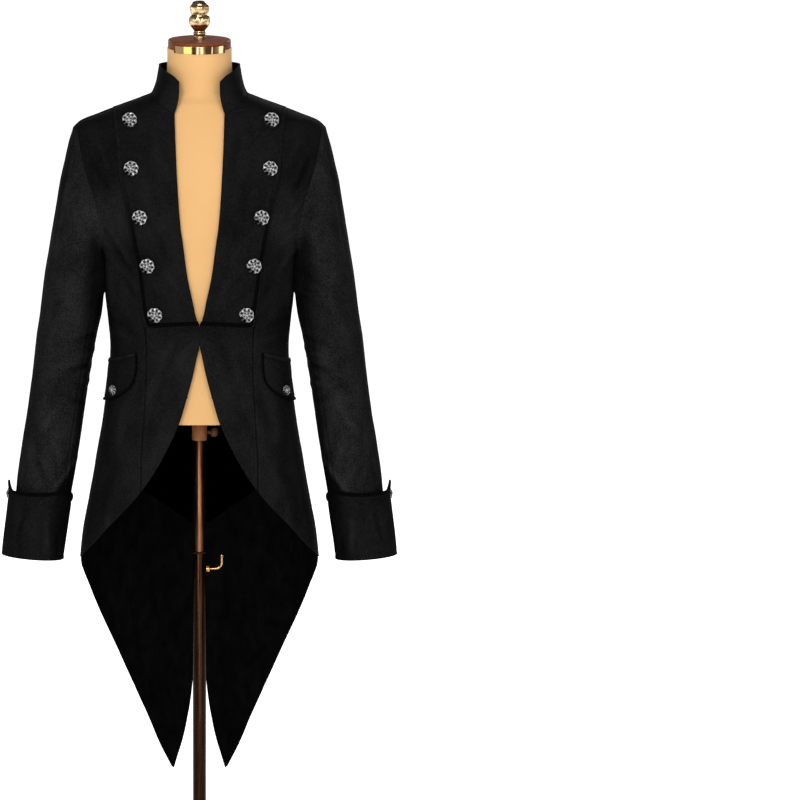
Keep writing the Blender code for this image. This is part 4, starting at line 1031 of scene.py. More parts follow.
def collar_grid():
    """The collar's outer points on one side, from the neck seam up and from the front end to the back."""
    at = np.linspace(0, len(COLLAR) - 1, (len(COLLAR) - 1) * COLLAR_STEP + 1)
    table = np.array(COLLAR, float)
    table[3, 0] = COAT.half(table[3, 1])
    x, z, top_x, top_y, top_z, tuck = at_rows(table, at).T
    base = COAT.place(np.stack([x, z], axis=-1), at > 3)
    top = np.stack([top_x, top_y, top_z], axis=-1)
    v = np.linspace(0, 1, COLLAR_ROWS)[:, None, None]
    grid = base + (top - base) * v
    grid[..., 0] -= tuck * np.sin(math.pi * v[..., 0])
    return grid, at


def whole(grid):
    return np.concatenate([grid, mirrored(grid)[:, -2::-1]], axis=1)


def collar_ways(grid):
    ways = grid_normal(whole(grid), False)
    middle = grid.shape[1] // 2
    return -ways if ways[0, middle, 0] < 0 else ways


def make_collar():
    """The stand collar: straight from the neck seam to its upper edge, rolled a little, eased at the back."""
    grid, at = collar_grid()
    full = whole(grid)
    ways = collar_ways(grid)
    body = COAT.normal(grid[0], at > 3)
    foot = mitre(body, ways[0, :len(at)], CLOTH)
    u = lengths(full)
    v = np.linspace(0, 1, full.shape[0])[:, None]
    ease = np.sin(math.pi * v) ** 0.7
    relief = ease * (0.5 * ripples(u, v * 45, 46.0, 2.2) + 0.2 * ripples(u, v * 45, 17.0, 5.1))
    relief = relief - 0.45 * bell(v - 0.9, 0.035)
    outer = full + relief[..., None] * ways
    inner = outer - COLLAR_CLOTH * ways
    inner[0, :len(at)] = outer[0, :len(at)] + foot
    inner[0, len(at):] = outer[0, len(at):] + mirrored(foot)[-2::-1]
    middle = unit(body + ways[0, :len(at)])
    middle = np.concatenate([middle, mirrored(middle)[-2::-1]])
    move = fillet(down_lengths(full))[..., None] * middle
    outer, inner = outer + move, inner + move
    column = np.concatenate([at, at[-2::-1]])
    tucked = OVERLAP - 5.0 * clamp(1.6 - np.abs(column - 4))[:, None]
    skin, lining = (pull_in(wall, ("top",), tucked) for wall in (outer, inner))
    cloth(shell("collar_velvet", skin, lining, velvet("collar_velvet", 0.98)), "collar", full)


def braid_relief(pitch, low=1.0):
    """Height of a plaited band: two sets of slanting ribs that meet in its middle; it starts at low."""
    def relief(run, turn):
        slant = run[:, None] / pitch + np.abs(np.cos(turn))[None, :] * 0.9
        grow = low + (1 - low) * clamp(run / 150)[:, None]
        return (0.86 + 0.2 * np.abs(np.sin(math.pi * slant))) * grow
    return relief


def rounded(line, radius, count):
    """A polyline drawn again with its corners eased: a running mean over the radius, at even steps."""
    run = lengths(line)
    even = np.linspace(0, run[-1], count)
    fine = spread(line, run, even)
    reach = max(1, int(radius / (run[-1] / count)))
    kernel = np.ones(2 * reach + 1) / (2 * reach + 1)
    padded = np.concatenate([fine[:1].repeat(reach, 0), fine, fine[-1:].repeat(reach, 0)])
    mean = np.stack([np.convolve(padded[:, i], kernel, "valid") for i in range(3)], axis=-1)
    blend = clamp(np.minimum(np.arange(count), np.arange(count)[::-1]) / (2 * reach))[:, None]
    return fine * (1 - blend) + mean * blend


def outward_along(line, ways, count):
    """Even lengths along a line, and the cloth's outward direction at each."""
    run = lengths(line)
    even = np.linspace(0, run[-1], count)
    return even, unit(spread(ways, run, even))


def band(node, line, ways, width, finish, sign, low=1.0):
    """A braid sewn along a line on the cloth: a low oval that follows the cloth's own directions."""
    thing = tube(f"{node}_braid", sided(line, sign), (width / 2, BRAID_HEIGHT / 2), finish, 18,
                 sided(ways, sign), braid_relief(2.6, low))
    fitted(thing, node, "dressed_form")


def make_bib(plain, sign, hand):
    """The bib over the centre front, its braid down the outer edge and along the foot, and its buttons."""
    last = BIB_ROW * FINE + 1
    line = plain[:last, :, (0, 2)]
    foot = np.linspace(0, 1, line.shape[1])[:, None]
    foot = line[-1, 0] + (line[-1, -1] - line[-1, 0]) * foot
    base = COAT.place(patch(line[:, 0], line[:, -1], line[0], foot), False)
    out = COAT.normal(base, False)
    down = down_lengths(base)
    fade = clamp(down / 14)
    relief = body_relief(base, False, sign) * fade
    # Painted shade in the bib's creases, and the whole bib painted a little darker: painted shade.
    painted_shading = painted_relief_shading(0.6 * body_relief(base, False, sign, creases_only=True) * fade) - 0.19
    across = lengths(base)
    from_right = across[:, -1:] - across
    raised = relief * np.clip(from_right / 10, 0.3, 1)
    grown = clamp(down / 70)
    thick = CLOTH * (0.3 + 0.7 * grown)
    lift = LAYER * (0.2 + 0.8 * grown)
    low = base + (raised + lift)[..., None] * out
    high = base + (raised + lift + thick)[..., None] * out
    for x, z, _ in BUTTONS:
        near = np.hypot(base[..., 0] - x, base[..., 2] - z)
        high -= (0.5 * bell(near, 9) - 0.3 * bell(near - 20, 7))[..., None] * out
    low, high = pull_in(low, ("top",), 0.5), pull_in(high, ("top",), 0.5)
    thing = shell(f"bib_{hand}_velvet", sided(high, sign), sided(low, sign), velvet(), painted_shading=painted_shading)
    cloth(thing, f"bib_{hand}", base)
    inset = 5
    column = high.shape[1] - 1 - inset
    row = high.shape[0] - 5
    path = np.concatenate([high[1:row, column], high[row, column::-1]])
    out_path = np.concatenate([out[1:row, column], out[row, column::-1]])
    even, turned = outward_along(path, out_path, TRIM_POINTS)
    grown = 0.35 + 0.65 * clamp(even / 150)[:, None]
    path = rounded(path, 6.0, TRIM_POINTS) + turned * (BRAID_HEIGHT / 2 * grown - 0.35)
    band(f"bib_trim_{hand}", path, turned, BIB_BAND, braid("bib_braid", (1.235, 1.385)), sign, 0.35)
    for number, (x, z, look) in enumerate(BUTTONS, start=1):
        x = x + 1.8 * sign
        miss = (base[..., 0] - x) ** 2 + (base[..., 2] - z) ** 2
        spot = np.unravel_index(np.argmin(miss), miss.shape)
        look = math.radians(look)
        face = np.array((out[spot][0] * 0.55, -math.cos(look), math.sin(look)))
        point, way = on_grid(high, x, z), out[spot]
        sew_button(f"button_{number}_{hand}", point, way, face, BUTTON, sign, number)


def on_grid(grid, x, z):
    """The point of a grid at a place seen from the front, from the nearest cell's slopes."""
    miss = (grid[..., 0] - x) ** 2 + (grid[..., 2] - z) ** 2
    i, j = np.unravel_index(np.argmin(miss), miss.shape)
    i, j = min(max(i, 1), grid.shape[0] - 2), min(max(j, 1), grid.shape[1] - 2)
    a, b = grid[i + 1, j] - grid[i - 1, j], grid[i, j + 1] - grid[i, j - 1]
    u, v = np.linalg.solve(np.array([[a[0], b[0]], [a[2], b[2]]]), np.array([x, z]) - grid[i, j][[0, 2]])
    return grid[i, j] + u * a + v * b


def sew_button(node, point, way, face, radius, sign, number):
    """A button on its shank, whose face looks its own way."""
    face = unit(np.asarray(face, float))
    lean = math.acos(float(np.clip(way @ face, -1, 1)))
    shank = 0.8 + (radius - SHANK) * math.tan(lean)
    seat = point + way * (0.2 + SHANK * math.sin(lean)) + face * shank
    make_button(node, sided(seat, sign), sided(face, sign), radius, shank, number)


def make_button(node, seat, face, radius, shank, number):
    """An openwork button.

    Its face is a low dome with a scalloped rim: height = dome + rim roll + ring + middle boss, less eight
    slots cut near the rim and five dents round the boss.
    """
    rings, spokes = 38, 128
    r = np.linspace(0, 1, rings)[:, None]
    a = full_turn(spokes)[None]
    turn = a + 0.31 + 0.17 * number
    scallop = 1 - 0.04 * np.abs(np.sin(4 * turn)) ** 0.7
    share = r * scallop
    dome = 0.26 * (1 - r ** 2.2)
    rim = 0.05 * bell(r - 0.9, 0.05)
    ring = 0.07 * bell(r - 0.46, 0.07)
    boss = 0.13 * bell(r, 0.17, 4)
    aside = np.sin(4 * turn + 0.3 * np.sin(turn + number)) * r
    slots = bell(aside, 0.60, 4) * bell(r - 0.67, 0.20, 6)
    dents = bell(np.sin(2.5 * turn + 0.9), 0.85, 4) * bell(r - 0.33, 0.11, 4)
    # Painted shade round the rim and in its notches.
    notch = bell(np.sin(4 * turn + 1.2), 0.45, 4) * bell(r - 0.97, 0.09, 4)
    rim_shade = clamp(rise(r - 0.93, 0.01) + notch)
    # Painted shade on the lower left of the face.
    shade = 0.8 * clamp((-0.64 * r * np.cos(a) - 0.77 * r * np.sin(a) - 0.45) / 0.3)
    hollow_and_shade = clamp(slots + 0.95 * dents + rim_shade + shade)
    height = dome + rim + ring + boss - 0.10 * clamp(slots + dents)
    edge = bell(r - 1, 0.03)
    height = height * (1 - edge) + 0.06 * edge
    top = radius * np.stack([share * np.cos(a), share * np.sin(a), height + 0.06], axis=-1)
    wall = np.stack([radius * scallop * np.cos(a), radius * scallop * np.sin(a), 0 * a], axis=-1)
    back = wall * np.array([0.93, 0.93, 0])
    foot = unit(wall) * SHANK
    low = foot - np.array([0, 0, shank])
    end = low * np.array([0, 0, 1.0])
    grid = np.concatenate([top, wall + np.array([0, 0, 0.3]), back, foot, low, end])
    spun = np.array(Vector(face).normalized().to_track_quat("Z", "Y").to_matrix())
    thing = ringed(f"{node}_silver", grid @ spun.T + seat, silver())
    # Painted shade: the sides, back and shank are painted dark.
    dark = np.full(grid.shape[:2], 0.8)
    dark[:rings] = hollow_and_shade
    mark_points(thing, "hollow_and_shade", dark.ravel())
    fitted(thing, node, "dressed_form")


def make_flap(sign, hand):
    """The pocket flap: a lined piece over the side front, with a corded edge and a pressed line inside it."""
    bend = len(FLAP) - 2
    u = np.concatenate([np.linspace(0, bend, 51), np.linspace(bend, bend + 1, 19)[1:]])
    x, upper, lower = at_rows(np.array(FLAP, float), u).T
    v = np.linspace(0, 1, 49)[:, None]
    flat = np.stack([x + 0 * v, upper + (lower - upper) * v], axis=-1)
    round_side = np.sin(clamp(u - bend) * math.pi / 2)
    reach = COAT.half(flat[..., 1]) - FLAP[bend][0]
    flat[..., 0] = np.where(u > bend, FLAP[bend][0] + reach * round_side, flat[..., 0])
    plain = COAT.place(flat, False)
    ways = COAT.normal(plain, False)
    from_top = down_lengths(plain)
    from_foot = from_top[-1:] - from_top
    from_front = lengths(plain)
    edge = np.minimum(from_foot, from_front)
    lift = FLAP_LIFT * (0.35 + 0.65 * clamp(from_top / 8))
    end = clamp((from_front[:, -1:] - from_front) / 22)
    lift = lift * (0.12 + 0.88 * end) + body_relief(plain, False, sign)
    lift = lift + 0.35 * ripples(plain[..., 0], plain[..., 2], 24.0, 3.3) * clamp(edge / 6)
    groove = -0.7 * bell(edge - 5.2, 1.1)
    ridge = 0.9 * bell(from_top - 4.5, 2.2) - 0.6 * bell(from_top - 9, 1.4)
    high = plain + (lift + FLAP_CLOTH * (0.35 + 0.65 * end) + groove + ridge)[..., None] * ways
    low = plain + lift[..., None] * ways
    # Painted shade along the pressed line and below the ridge under the top edge, and painted light on the
    # ridge.
    painted_shading = painted_relief_shading(groove * 1.3 + ridge * 1.4, 0.5)
    thing = shell(f"flap_{hand}_velvet", sided(high, sign), sided(low, sign), velvet(), painted_shading=painted_shading)
    cloth(thing, f"flap_{hand}", plain)
    path = np.concatenate([high[4:, 1], high[-2, 1:]])
    out = np.concatenate([ways[4:, 1], ways[-2, 1:]])
    count = 300
    _, turned = outward_along(path, out, count)
    line = rounded(path, 3.0, count) + turned * 0.2
    cord = tube(f"flap_piping_{hand}_braid", sided(line, sign), PIPING, braid(), 14, sided(turned, sign),
                braid_relief(2.2))
    fitted(cord, f"flap_piping_{hand}", "dressed_form")
    point = on_grid(high, *FLAP_BUTTON)
    way = COAT.normal(COAT.place(np.array(FLAP_BUTTON), False), False)
    sew_button(f"flap_button_{hand}", point, way, way + np.array([0, -0.25, 0]), SMALL_BUTTON, sign, 7)


def sleeve_points(rows, turn):
    """The sleeve's outer rings: the armhole's own shape that turns down and rounds into an oval arm."""
    half = turn <= math.pi
    level = np.where(half, turn, 2 * math.pi - turn) / math.pi * ARM_ROWS
    front = COAT.place(armhole(ARMHOLE_FRONT, level), False)
    back = COAT.place(armhole(ARMHOLE_BACK, level), True)
    loop = np.where(half[:, None], front, back)
    body_ways = np.where(half[:, None], COAT.normal(front, False), COAT.normal(back, True))
    under = np.array([ARMHOLE_FRONT[-1][1], COAT.sides(ARMPIT), ARMPIT])
    top = np.array([ARMHOLE_FRONT[0][1], COAT.sides(ARMHOLE_TOP), ARMHOLE_TOP])
    chord = (top - under)[[0, 2]]
    length = np.linalg.norm(chord)
    flat = loop[:, (0, 2)] - under[[0, 2]]
    share = flat @ chord / length ** 2
    stray = flat @ (np.array([chord[1], -chord[0]]) / length)
    k = np.maximum(rows, 1.0)
    xi, zi, xo, zo, front, back = (v[:, None] for v in at_rows(np.array(SLEEVE, float), k - 1).T)
    blend = np.minimum(1.0, k / 7)[:, None]
    blend = blend * blend * (3 - 2 * blend)
    size = np.hypot(xo - xi, zo - zi)
    middle = (front + back) / 2
    depth = middle + np.where(half, front - middle, back - middle) * np.abs(np.sin(turn))
    u = (1 - blend) * share + blend * (1 + np.cos(turn)) / 2
    w = (1 - blend) * stray * size / length
    y = (1 - blend) * loop[:, 1] + blend * depth
    grid = np.stack([xi + u * (xo - xi) + w * (zo - zi) / size, y,
                     zi + u * (zo - zi) - w * (xo - xi) / size], axis=-1)
    first = clamp(rows)[:, None, None]
    return (1 - first) * loop + first * grid, body_ways


def outward(ways, grid):
    middle = grid.mean(axis=1, keepdims=True)
    return -ways if ((grid - middle) * ways).sum() < 0 else ways


def round_troughs(table, turn, z, reach, seed):
    """Creases round an arm, from a table in degrees; each also shows past the place where the turn starts."""
    total = 0
    for shift in (-360, 0, 360):
        moved = [(math.radians(at + shift) * reach, *rest) for at, *rest in table]
        total = total + troughs(moved, turn[None] * reach + 0 * z, z, seed)
    return total


def make_sleeve(sign, hand):
    """The two-piece sleeve, creased at the elbow, under the arm and above the cuff."""
    turns = 112
    turn = full_turn(turns)
    rows = np.concatenate([[0, 0.3, 0.65], np.linspace(1, 7, 56), np.linspace(7, len(SLEEVE), 130)[1:]])
    grid, body_ways = sleeve_points(rows, turn)
    ways = outward(grid_normal(grid, True), grid)
    reach = 50.0
    degrees = np.degrees(turn)[None]
    z = grid[..., 2]
    creases = round_troughs(SLEEVE_CREASES, turn, z, reach, 2.0 + sign)
    relief = creases + 0.55 * ripples(grid[..., 0] * 1.2 + grid[..., 1], z * 0.5, 74.0, 6.0 + sign)
    relief = relief + 0.2 * ripples(grid[..., 0] + grid[..., 1], z, 26.0, 2.0 + sign)
    for place in (UNDER_FROM, UNDER_TO):
        off = (degrees - place) * math.pi / 180 * reach
        press = seam_press(np.abs(off), z, place)
        relief, creases = relief + press, creases + press
    # The fold toward the body, below the arm, and the calmer cloth in front of it.
    fold = 8.0 * bell(degrees - 158, 17) + 3.0 * bell(degrees - 206, 16)
    calm = 1 - 0.65 * clamp((z - 1100) / 30) * (degrees < 175) * (degrees > 55)
    relief = relief * calm + fold * rise(z - 1158, 3) * rise(1245 - z, 8)
    # Painted shade: the side toward the body, and a strip down the outer side with a line of painted light
    # beside it.
    limit = 116 + 0.13 * np.clip(1150 - z, 0, 400)
    shaded_side = rise(degrees - limit, 5) * rise(212 - degrees, 7)
    shaded_side = shaded_side * clamp((1400 - z) / 60) * (0.75 + 0.25 * clamp((z - 1100) / 60))
    outward_turn = (degrees + 180) % 360 - 180
    outer_painted_shade = bell(outward_turn - 8, 29, 4) * clamp((z - 1225) / 80) * clamp((1440 - z) / 60)
    outer_painted_light = bell(degrees - 43, 4) * clamp((z - 1215) / 40) * clamp((1400 - z) / 50)
    creases = 0.5 * creases * calm - 1.95 * shaded_side - 1.3 * outer_painted_shade + 1.1 * outer_painted_light
    # The slanting fold above the cuff in front, with painted light on it and painted shade in the hollow
    # beside it.
    off = (grid[..., 0] - 229.5) * 0.8 - (851 - z) * 0.6
    front = (grid[..., 1] < 0) * bell(z - 838, 30, 4)
    low_fold = 1.6 * bell(off, 4.0) * front
    shade = -2.6 * rise(-off - 4.5, 1.2) * front
    relief = relief + low_fold
    creases = creases + 1.5 * low_fold + shade
    # Flat at the armhole's seam, and calm where the cuff goes over it.
    run = down_lengths(grid)
    fade = clamp((run - 2) / 26)
    relief = relief * fade
    painted_shading = painted_relief_shading(creases * fade, 0.36)
    relief = relief + 0.55 * bell(run - 9, 5) * clamp(run / 3)
    floor = np.where(z < 835, clamp((z - 812) / 23), 1.0)
    relief = relief * floor - 0.3 * (1 - floor)
    outer = grid + relief[..., None] * ways
    inner = outer - CLOTH * ways
    inner[0] = outer[0] + mitre(body_ways, ways[0], CLOTH)
    first = int(round(UNDER_FROM / 360 * turns))
    second = int(round(UNDER_TO / 360 * turns))
    upper = list(range(second, turns)) + list(range(first + 1))
    under = list(range(first, second + 1))
    for name, columns in (("upper_sleeve", upper), ("under_sleeve", under)):
        skin, lining = (pull_in(pull_in(wall[:, columns], ("left", "right")), ("top",), OVERLAP)
                        for wall in (outer, inner))
        # The sleeves are a lighter copy of the same velvet: painted light.
        thing = shell(f"{name}_{hand}_velvet", sided(skin, sign), sided(lining, sign),
                      velvet("sleeve_velvet", 1.48, 0.085), painted_shading=painted_shading[:, columns])
        cloth(thing, f"{name}_{hand}", grid[:, columns])


def make_cuff(sign, hand):
    """The turned-back cuff, the braid along its upper edge and its button."""
    turn = full_turn(128)
    edge = track(CUFF_EDGE)(np.degrees(turn))
    share = np.linspace(0, 1, 45)[:, None]
    hem = 702 - 4.5 * (1 - np.cos(turn))
    z = edge + (hem - edge) * share
    under, out, front, back = (Track([r[0] for r in CUFF], [r[i] for r in CUFF])(z) for i in range(1, 5))
    middle = (front + back) / 2
    depth = np.where(turn <= math.pi, front - middle, back - middle)
    plain = np.stack([(under + out) / 2 + (out - under) / 2 * np.cos(turn),
                      middle + depth * np.abs(np.sin(turn)), z], axis=-1)
    ways = outward(grid_normal(plain, True), plain)
    relief = 0.45 * ripples(plain[..., 0] + plain[..., 1], z, 60.0, 1.0 + sign)
    relief = relief + round_troughs(CUFF_CREASES, turn, z, 55.0, 3.0 + sign)
    # Painted shade on the cuff's side toward the body, besides the creases' painted shade and light.
    creases = relief - 1.1 * bell(np.degrees(turn)[None] - 150, 26, 4)
    drop = down_lengths(plain)
    relief = relief * clamp((drop - 8) / 10)
    relief = relief - 0.55 * bell(drop - 10.5, 1.8)
    relief = relief - 0.4 * bell(drop[-1:] - drop - 7, 1.6)
    outer = plain + relief[..., None] * ways
    inner = plain - CLOTH * ways
    # The cuffs are a darker copy of the same velvet: painted shade.
    thing = shell(f"cuff_{hand}_velvet", sided(outer, sign), sided(inner, sign), velvet("cuff_velvet", 0.80),
                  wrap=True, painted_shading=painted_relief_shading(creases))
    cloth(thing, f"cuff_{hand}", plain, wrap=True)
    row = int(np.argmin(np.abs(drop[:, 40] - CUFF_BAND / 2)))
    line = np.concatenate([outer[row], outer[row, :1]])
    even, way = outward_along(line, np.concatenate([ways[row], ways[row, :1]]), TRIM_POINTS)
    path = spread(line, lengths(line), even) + way * (BRAID_HEIGHT / 2 - 0.25)
    path[-1] = path[0] + (path[1] - path[0]) * 0.02
    band(f"cuff_trim_{hand}", path, way, CUFF_BAND, braid(), sign)
    row = int(np.argmin(np.abs(z[:, 0] - CUFF_BUTTON_HEIGHT)))
    seat, face = outer[row, 0] + 0.4 * ways[row, 0], ways[row, 0]
    make_button(f"cuff_button_{hand}", sided(seat, sign), sided(face, sign), SMALL_BUTTON, 0.3, 4)


def make_coat():
    """All panels of both sides, with the collar."""
    centre, side = front_grids()
    back_centre, back_side = back_grids()
    collar, at = collar_grid()
    stand = collar_ways(collar)

    def neck_fix(count, ways_up):
        def fix(outer, inner, ways):
            inner[0, :count] = outer[0, :count] + mitre(ways[0, :count], ways_up, CLOTH)
            move = fillet(down_lengths(outer[:, :count]))[..., None] * unit(ways[0, :count] + ways_up)
            outer[:, :count] += move
            inner[:, :count] += move
            return inner
        return fix

    front_neck = np.linspace(0, 3, FRONT_NECK)
    back_neck = np.linspace(len(COLLAR) - 1, 3, BACK_NECK)
    front_up, back_up = (unit(spread(stand[0, :len(at)], at, neck)) for neck in (front_neck, back_neck))
    side_seams = ("top", "left", "right", "armhole")
    for sign, hand in ((1, "left"), (-1, "right")):
        plain = panel("centre_front", centre, False, sign, hand, ("top", "right"), front_lining,
                      neck_fix(FRONT_NECK, front_up))
        make_bib(plain, sign, hand)
        panel("side_front", side, False, sign, hand, side_seams, front_lining)
        make_flap(sign, hand)
        panel("centre_back", back_centre, True, sign, hand, ("top", "right", "left"), tail_lining,
              neck_fix(BACK_NECK, back_up))
        panel("side_back", back_side, True, sign, hand, side_seams, tail_lining)
        make_sleeve(sign, hand)
        make_cuff(sign, hand)
    make_collar()


# The form and the stand.

NECK_TOP = 1584.0
CAP_TILT = math.radians(6.5)
CAP = 54.7                  # radius of the neck cap
PLATE_OUTSIDE, PLATE_INSIDE = 58.0, 56.9    # radii of the cap plate's two faces
FORM_BOTTOM = 936.0
ROD = 8.0                   # radius
BORE = 8.6                  # inner radius of the tube and the socket
TUBE = 11.8                 # outer radius of the tube
TUBE_TOP = 701.0
BASE_BORE = 12.15           # radius of the hole in the base
KNOB_HEIGHT = 911.0
LOCK_HEIGHT = 670.0
NECK = ((1504, 62, -52, 66), (1518, 60.5, -53, 62), (1535, 57.5, -54, 58.5), (1556, 56.2, -55.5, 56.5),
        (NECK_TOP, 56, -56, 56))
FORM_LEVELS = (1490, 1483, 1474, 1464, 1452, 1436, 1410, 1375, 1330, 1280, 1225, 1165, 1104, 1062, 1000)
FORM_SPACE = ((1500, 3.7), (1485, 3.1), (1465, 3.2), (1440, 3.9), (1400, 2.9), (1330, 3.0), (1250, 4.5),
              (1150, 6.0), (1062, 7.0), (936, 9.0))
FORM_ARM_PLATE = ((1495, 400), (1455, 205), (1438, 200), (1410, 195), (1375, 186), (1335, 172), (1290, 163),
                  (1245, 158), (1200, 158), (936, 200))


def make_form():
    """The torso form: the coat's rings moved in, cut flat at the arms, with a round edge to its open foot."""
    count = 160
    turn = full_turn(count)
    back = np.sin(turn) > 1e-9
    rings = []
    for z, half, front, rear in reversed(NECK):
        middle = (front + rear) / 2
        y = middle + (rear - front) / 2 * np.sin(turn)
        lean = {NECK_TOP: 1.0, 1556: 0.45}.get(z, 0.0)
        rings.append(np.stack([half * np.cos(turn), y, z + y * math.tan(CAP_TILT) * lean], axis=-1))
    for z in FORM_LEVELS + (FORM_BOTTOM,):
        x = float(COAT.half(z)) * np.sign(np.cos(turn)) * np.abs(np.cos(turn)) ** (2 / 2.2)
        heights = np.full(count, float(z))
        skin = np.stack([x, COAT.depth(x, heights, back), heights], axis=-1)
        ring = skin - (CLOTH + track(FORM_SPACE)(z)) * COAT.normal(skin, back)
        if z == FORM_BOTTOM:
            ring[:, 2] = z
        plate = float(track(FORM_ARM_PLATE)(z))
        ring[:, 0] = np.clip(ring[:, 0], -plate, plate)
        rings.append(ring)
    rings = np.array(rings)
    side = Track(np.arange(len(rings)), rings)(np.linspace(0, len(rings) - 1, 110))
    middle_top = side[0].mean(axis=0)
    middle_foot = side[-1].mean(axis=0)
    top = [middle_top + (side[0] - middle_top) * s for s in (0.0, 0.6, 0.97)]
    foot = np.array([middle_foot + (side[-1] - middle_foot) * s for s in (0.996, 0.99, 0.6, 0.0)])
    foot[..., 2] = FORM_BOTTOM
    thing = ringed("torso_form_cover", np.concatenate([top, side, foot]), jersey())
    weld(thing)
    thing.data.set_sharp_from_angle(angle=math.radians(50))
    fitted(thing, "torso_form", "dressed_form")


def make_head():
    """The mahogany neck cap, its brass plate and the turned brass finial, tilted together."""
    tilt = Matrix.Translation((0, 0, NECK_TOP * MM)) @ Matrix.Rotation(CAP_TILT, 4, "X")
    mahogany = wood("mahogany", (0.085, 0.018, 0.006), (0.24, 0.060, 0.018), (0.3, 1.0, 1.0), 0.4)
    high, low, edge = 14.0, 0.3, 1.6
    arc = np.linspace(0, math.pi / 2, 5)
    rim = [(CAP - edge + edge * math.sin(a), high - edge + edge * math.cos(a)) for a in arc]
    foot = [(CAP - edge + edge * math.cos(a), low + edge - edge * math.sin(a)) for a in arc]
    cap = lathe("neck_cap_wood", [(0, high), (30, high)] + rim + foot + [(20, low), (0, low)],
                mahogany, 128, tilt)
    fitted(cap, "neck_cap", "dressed_form")
    bend = np.radians(np.linspace(-50, 50, 121))
    rows = np.linspace(9.3, -4.0, 17)[:, None]
    roll = 0.25 * np.cos(np.linspace(-math.pi / 2, math.pi / 2, 17))[:, None]
    outside, inside = (np.stack([r * np.sin(bend), -r * np.cos(bend), rows + 0 * bend], axis=-1)
                       for r in (PLATE_OUTSIDE + roll, PLATE_INSIDE + 0 * roll))
    plate = shell("cap_plate_brass", outside, inside, brass_painted_reflections(), soft=0.6)
    plate.data.transform(tilt)
    fitted(plate, "cap_plate", "dressed_form")
    profile = np.array(((0, 67.5), (6, 66.9), (11, 65), (15, 61.5), (17.2, 56.5), (17.1, 51.5), (15.5, 46.5),
                        (14.3, 44), (16.5, 41.5), (18.3, 36), (18.5, 31), (17.2, 25.5), (14, 20.5),
                        (10.8, 17), (9.6, 14.5), (10.6, 12.6), (11.2, 10.5), (10.3, 8.4), (10, 6), (10, 0)))
    above = high + low
    run = lengths(profile)
    fine = Track(run, profile)(np.linspace(0, run[-1], 120))
    finial = lathe("finial_brass", [(r, z + above) for r, z in fine] + [(0, above)], turned_brass(), 72, tilt)
    fitted(finial, "finial", "dressed_form")


def make_stand():
    """Socket, knob, rod, tube with its rim, lock and base."""
    tan = wood("turned_wood", (0.20, 0.070, 0.020), (0.36, 0.15, 0.052), (1.0, 1.0, 0.3))
    top = FORM_BOTTOM - 0.35
    socket = lathe("socket_wood", [(BORE, top), (12.6, top), (13.3, top - 0.8), (13.3, 899.5), (12.6, 898),
                                   (11.6, 897.5), (BORE, 897.5), (BORE, top)], tan, 64)
    fitted(socket, "socket", "dressed_form")
    rod = lathe("rod_bronze", [(0, top), (7.6, top), (ROD, top - 0.6), (ROD, 360.5), (7.4, 360), (0, 360)],
                bronze("rod_lacquer", 1.75, 0.36), 64)
    fitted(rod, "rod", "mast")
    foot = 8.35
    rim = [(BORE, TUBE_TOP), (10.8, TUBE_TOP), (TUBE, 700), (TUBE, 698.5), (11.45, 697.8), (11.45, 697),
           (TUBE, 696.4)]
    tube_piece = lathe("tube_bronze", rim + [(TUBE, foot), (BORE, foot), (BORE, TUBE_TOP)],
                       bronze("dark_bronze", 0.24), 64)
    fitted(tube_piece, "tube", "stand")
    hub = [(BASE_BORE, 26), (23, 26), (25.5, 25), (27.5, 22), (28.2, 16), (30.5, 11.5), (36, 9), (60, 8.1)]
    plate = [(150, 7.8), (166, 7.4), (169, 6.2), (170, 4.6), (170, 0.6), (169.4, 0), (0, 0), (0, 8)]
    base = lathe("base_bronze", hub + plate + [(BASE_BORE, 8), (BASE_BORE, 26)], bronze(), 160)
    fitted(base, "base", "stand")
    sideways = Matrix.Rotation(math.pi / 2, 4, "Y")
    arc = np.linspace(0, math.pi, 13)
    ball = [(0.2 + 7.6 * math.sin(a) ** 0.8, 11.8 + 7.4 * math.cos(a)) for a in arc[:-1]]
    knob = lathe("socket_knob_wood", [(0, 19.3)] + ball[1:] + [(3.2, 4.6), (3, 3.8), (3, 0), (0, 0)],
                 wood("knob_wood", (0.05, 0.018, 0.008), (0.12, 0.045, 0.02), (0.35, 1.0, 1.0)), 48,
                 Matrix.Translation((13.7 * MM, 0, KNOB_HEIGHT * MM)) @ sideways)
    fitted(knob, "socket_knob", "knob")
    boss = lathe("lock_boss_bronze", [(0, 6), (4.6, 6), (5.6, 5.2), (6, 4.2), (6, 0), (0, 0)], brass(), 48,
                 Matrix.Translation((BASE_BORE * MM, 0, LOCK_HEIGHT * MM)) @ sideways)
    fitted(boss, "lock_boss", "stand")
    start, bend, arm, tip = 18.5, 11.0, 39.0, 24.0
    corner = [(arm - bend + bend * math.sin(a), bend - bend * math.cos(a))
              for a in np.linspace(0, math.pi / 2, 24)]
    route = [(start, 0), (start + 2, 0), (24, 0)] + corner + [(arm, 14), (arm, 18), (arm, tip)]
    line = np.array([(x, 0, LOCK_HEIGHT + z) for x, z in route])
    handle = tube("lock_handle_brass", line, (1.9, 1.9), brass(), 20, np.array([0.0, 1.0, 0.0]) + 0 * line)
    fitted(handle, "lock_handle", "lock")
    profile = ((0, 25.4), (2.6, 25.2), (3.2, 24.4), (3.2, 21.2), (2.6, 20.4), (1.9, 20.2), (0, 20.2))
    end = lathe("lock_handle_tip", profile, brass(), 32,
                Matrix.Translation((arm * MM, 0, LOCK_HEIGHT * MM)))
    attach(end, "lock")


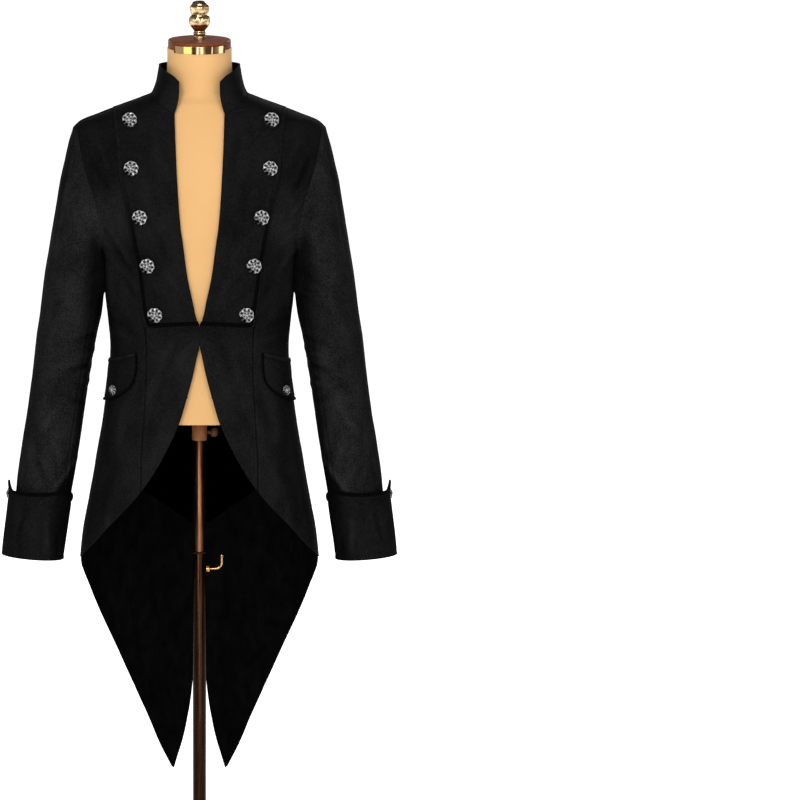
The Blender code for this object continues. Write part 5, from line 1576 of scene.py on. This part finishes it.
def make_stage():
    """A pale floor, soft lights and a camera where the photograph was taken from."""
    size = 60.0
    data = bpy.data.meshes.new("floor")
    corners = [(-size, -size, 0), (size, -size, 0), (size, size, 0), (-size, size, 0)]
    data.from_pydata(corners, [], [(0, 1, 2, 3)])
    floor = linked(bpy.data.objects.new("floor", data))
    n = Nodes("pale_floor", Roughness=0.9, Specular_IOR_Level=0.1, Emission_Color=(1.0, 1.0, 1.0, 1.0))
    from_middle = n.new("VectorMath", Vector=n.place)
    from_middle.operation = "LENGTH"
    behind = n.ranged(n.part("Y", n.place), 0.4, 1.1, 0.35, 1.0)
    far = n.ranged(from_middle.outputs["Value"], 2.5, 7.0, 0.35, 1.0)
    n.surface(Base_Color=n.ramp(n.noise(3.0, 2.0), ((0.3, 0.86), (0.7, 0.90))),
              Emission_Strength=n.maths("MAXIMUM", behind, far))
    data.materials.append(n.finish)
    world = bpy.data.worlds.new("studio")
    bpy.context.scene.world = world
    world.use_nodes = True
    nodes, links = world.node_tree.nodes, world.node_tree.links
    way = nodes.new("ShaderNodeSeparateXYZ")
    links.new(nodes.new("ShaderNodeTexCoord").outputs["Generated"], way.inputs["Vector"])
    share = nodes.new("ShaderNodeMapRange")
    share.interpolation_type = "SMOOTHSTEP"
    for socket, value in zip(("From Min", "From Max", "To Min", "To Max"), (0.09, 0.2, 1.02, 0.14)):
        share.inputs[socket].default_value = value
    links.new(way.outputs["Z"], share.inputs["Value"])
    links.new(share.outputs["Result"], nodes["Background"].inputs["Strength"])
    nodes["Background"].inputs["Color"].default_value = (1, 1, 1, 1)
    for name, place, aim, power, width, height in (
            ("key", (-1.9, -5.0, 3.1), (0, 0, 1.15), 108, 1.2, 1.8),
            ("fill", (2.3, -5.0, 2.3), (0, 0, 1.0), 50, 1.3, 2.2),
            ("front", (0.0, -8.6, 2.6), (0, 0, 1.2), 105, 1.6, 1.2),
            ("top", (0.0, -1.2, 4.2), (0, 0, 1.3), 30, 1.6, 1.0),
            ("back_key", (1.9, 5.0, 3.4), (0, 0, 1.15), 130, 1.2, 1.8),
            ("back_fill", (-2.3, 5.0, 3.2), (0, 0, 1.0), 60, 1.3, 1.8)):
        light = bpy.data.lights.new(name, "AREA")
        light.shape = "RECTANGLE"
        light.size, light.size_y, light.energy = width, height, power
        thing = linked(bpy.data.objects.new(name, light))
        thing.location = place
        thing.rotation_euler = (Vector(aim) - Vector(place)).to_track_quat("-Z", "Y").to_euler()
    camera = bpy.data.cameras.new("camera")
    camera.sensor_width = 36.0
    frame_width, distance, pitch = PHOTO * PIXEL * MM, 8.0, math.radians(6.5)
    camera.lens = camera.sensor_width * distance / frame_width
    camera.shift_x = (PHOTO / 2 - COAT_MIDDLE) / PHOTO
    camera.clip_end = 400
    thing = linked(bpy.data.objects.new("camera", camera))
    thing.location = (0, -7.95, 1.874)
    thing.rotation_euler = (math.pi / 2 - pitch, 0, 0)
    bpy.context.scene.camera = thing
    bpy.context.scene.view_settings.view_transform = "Standard"
    bpy.context.scene.view_settings.look = "None"


make_coat()
make_form()
make_head()
make_stand()
make_stage()
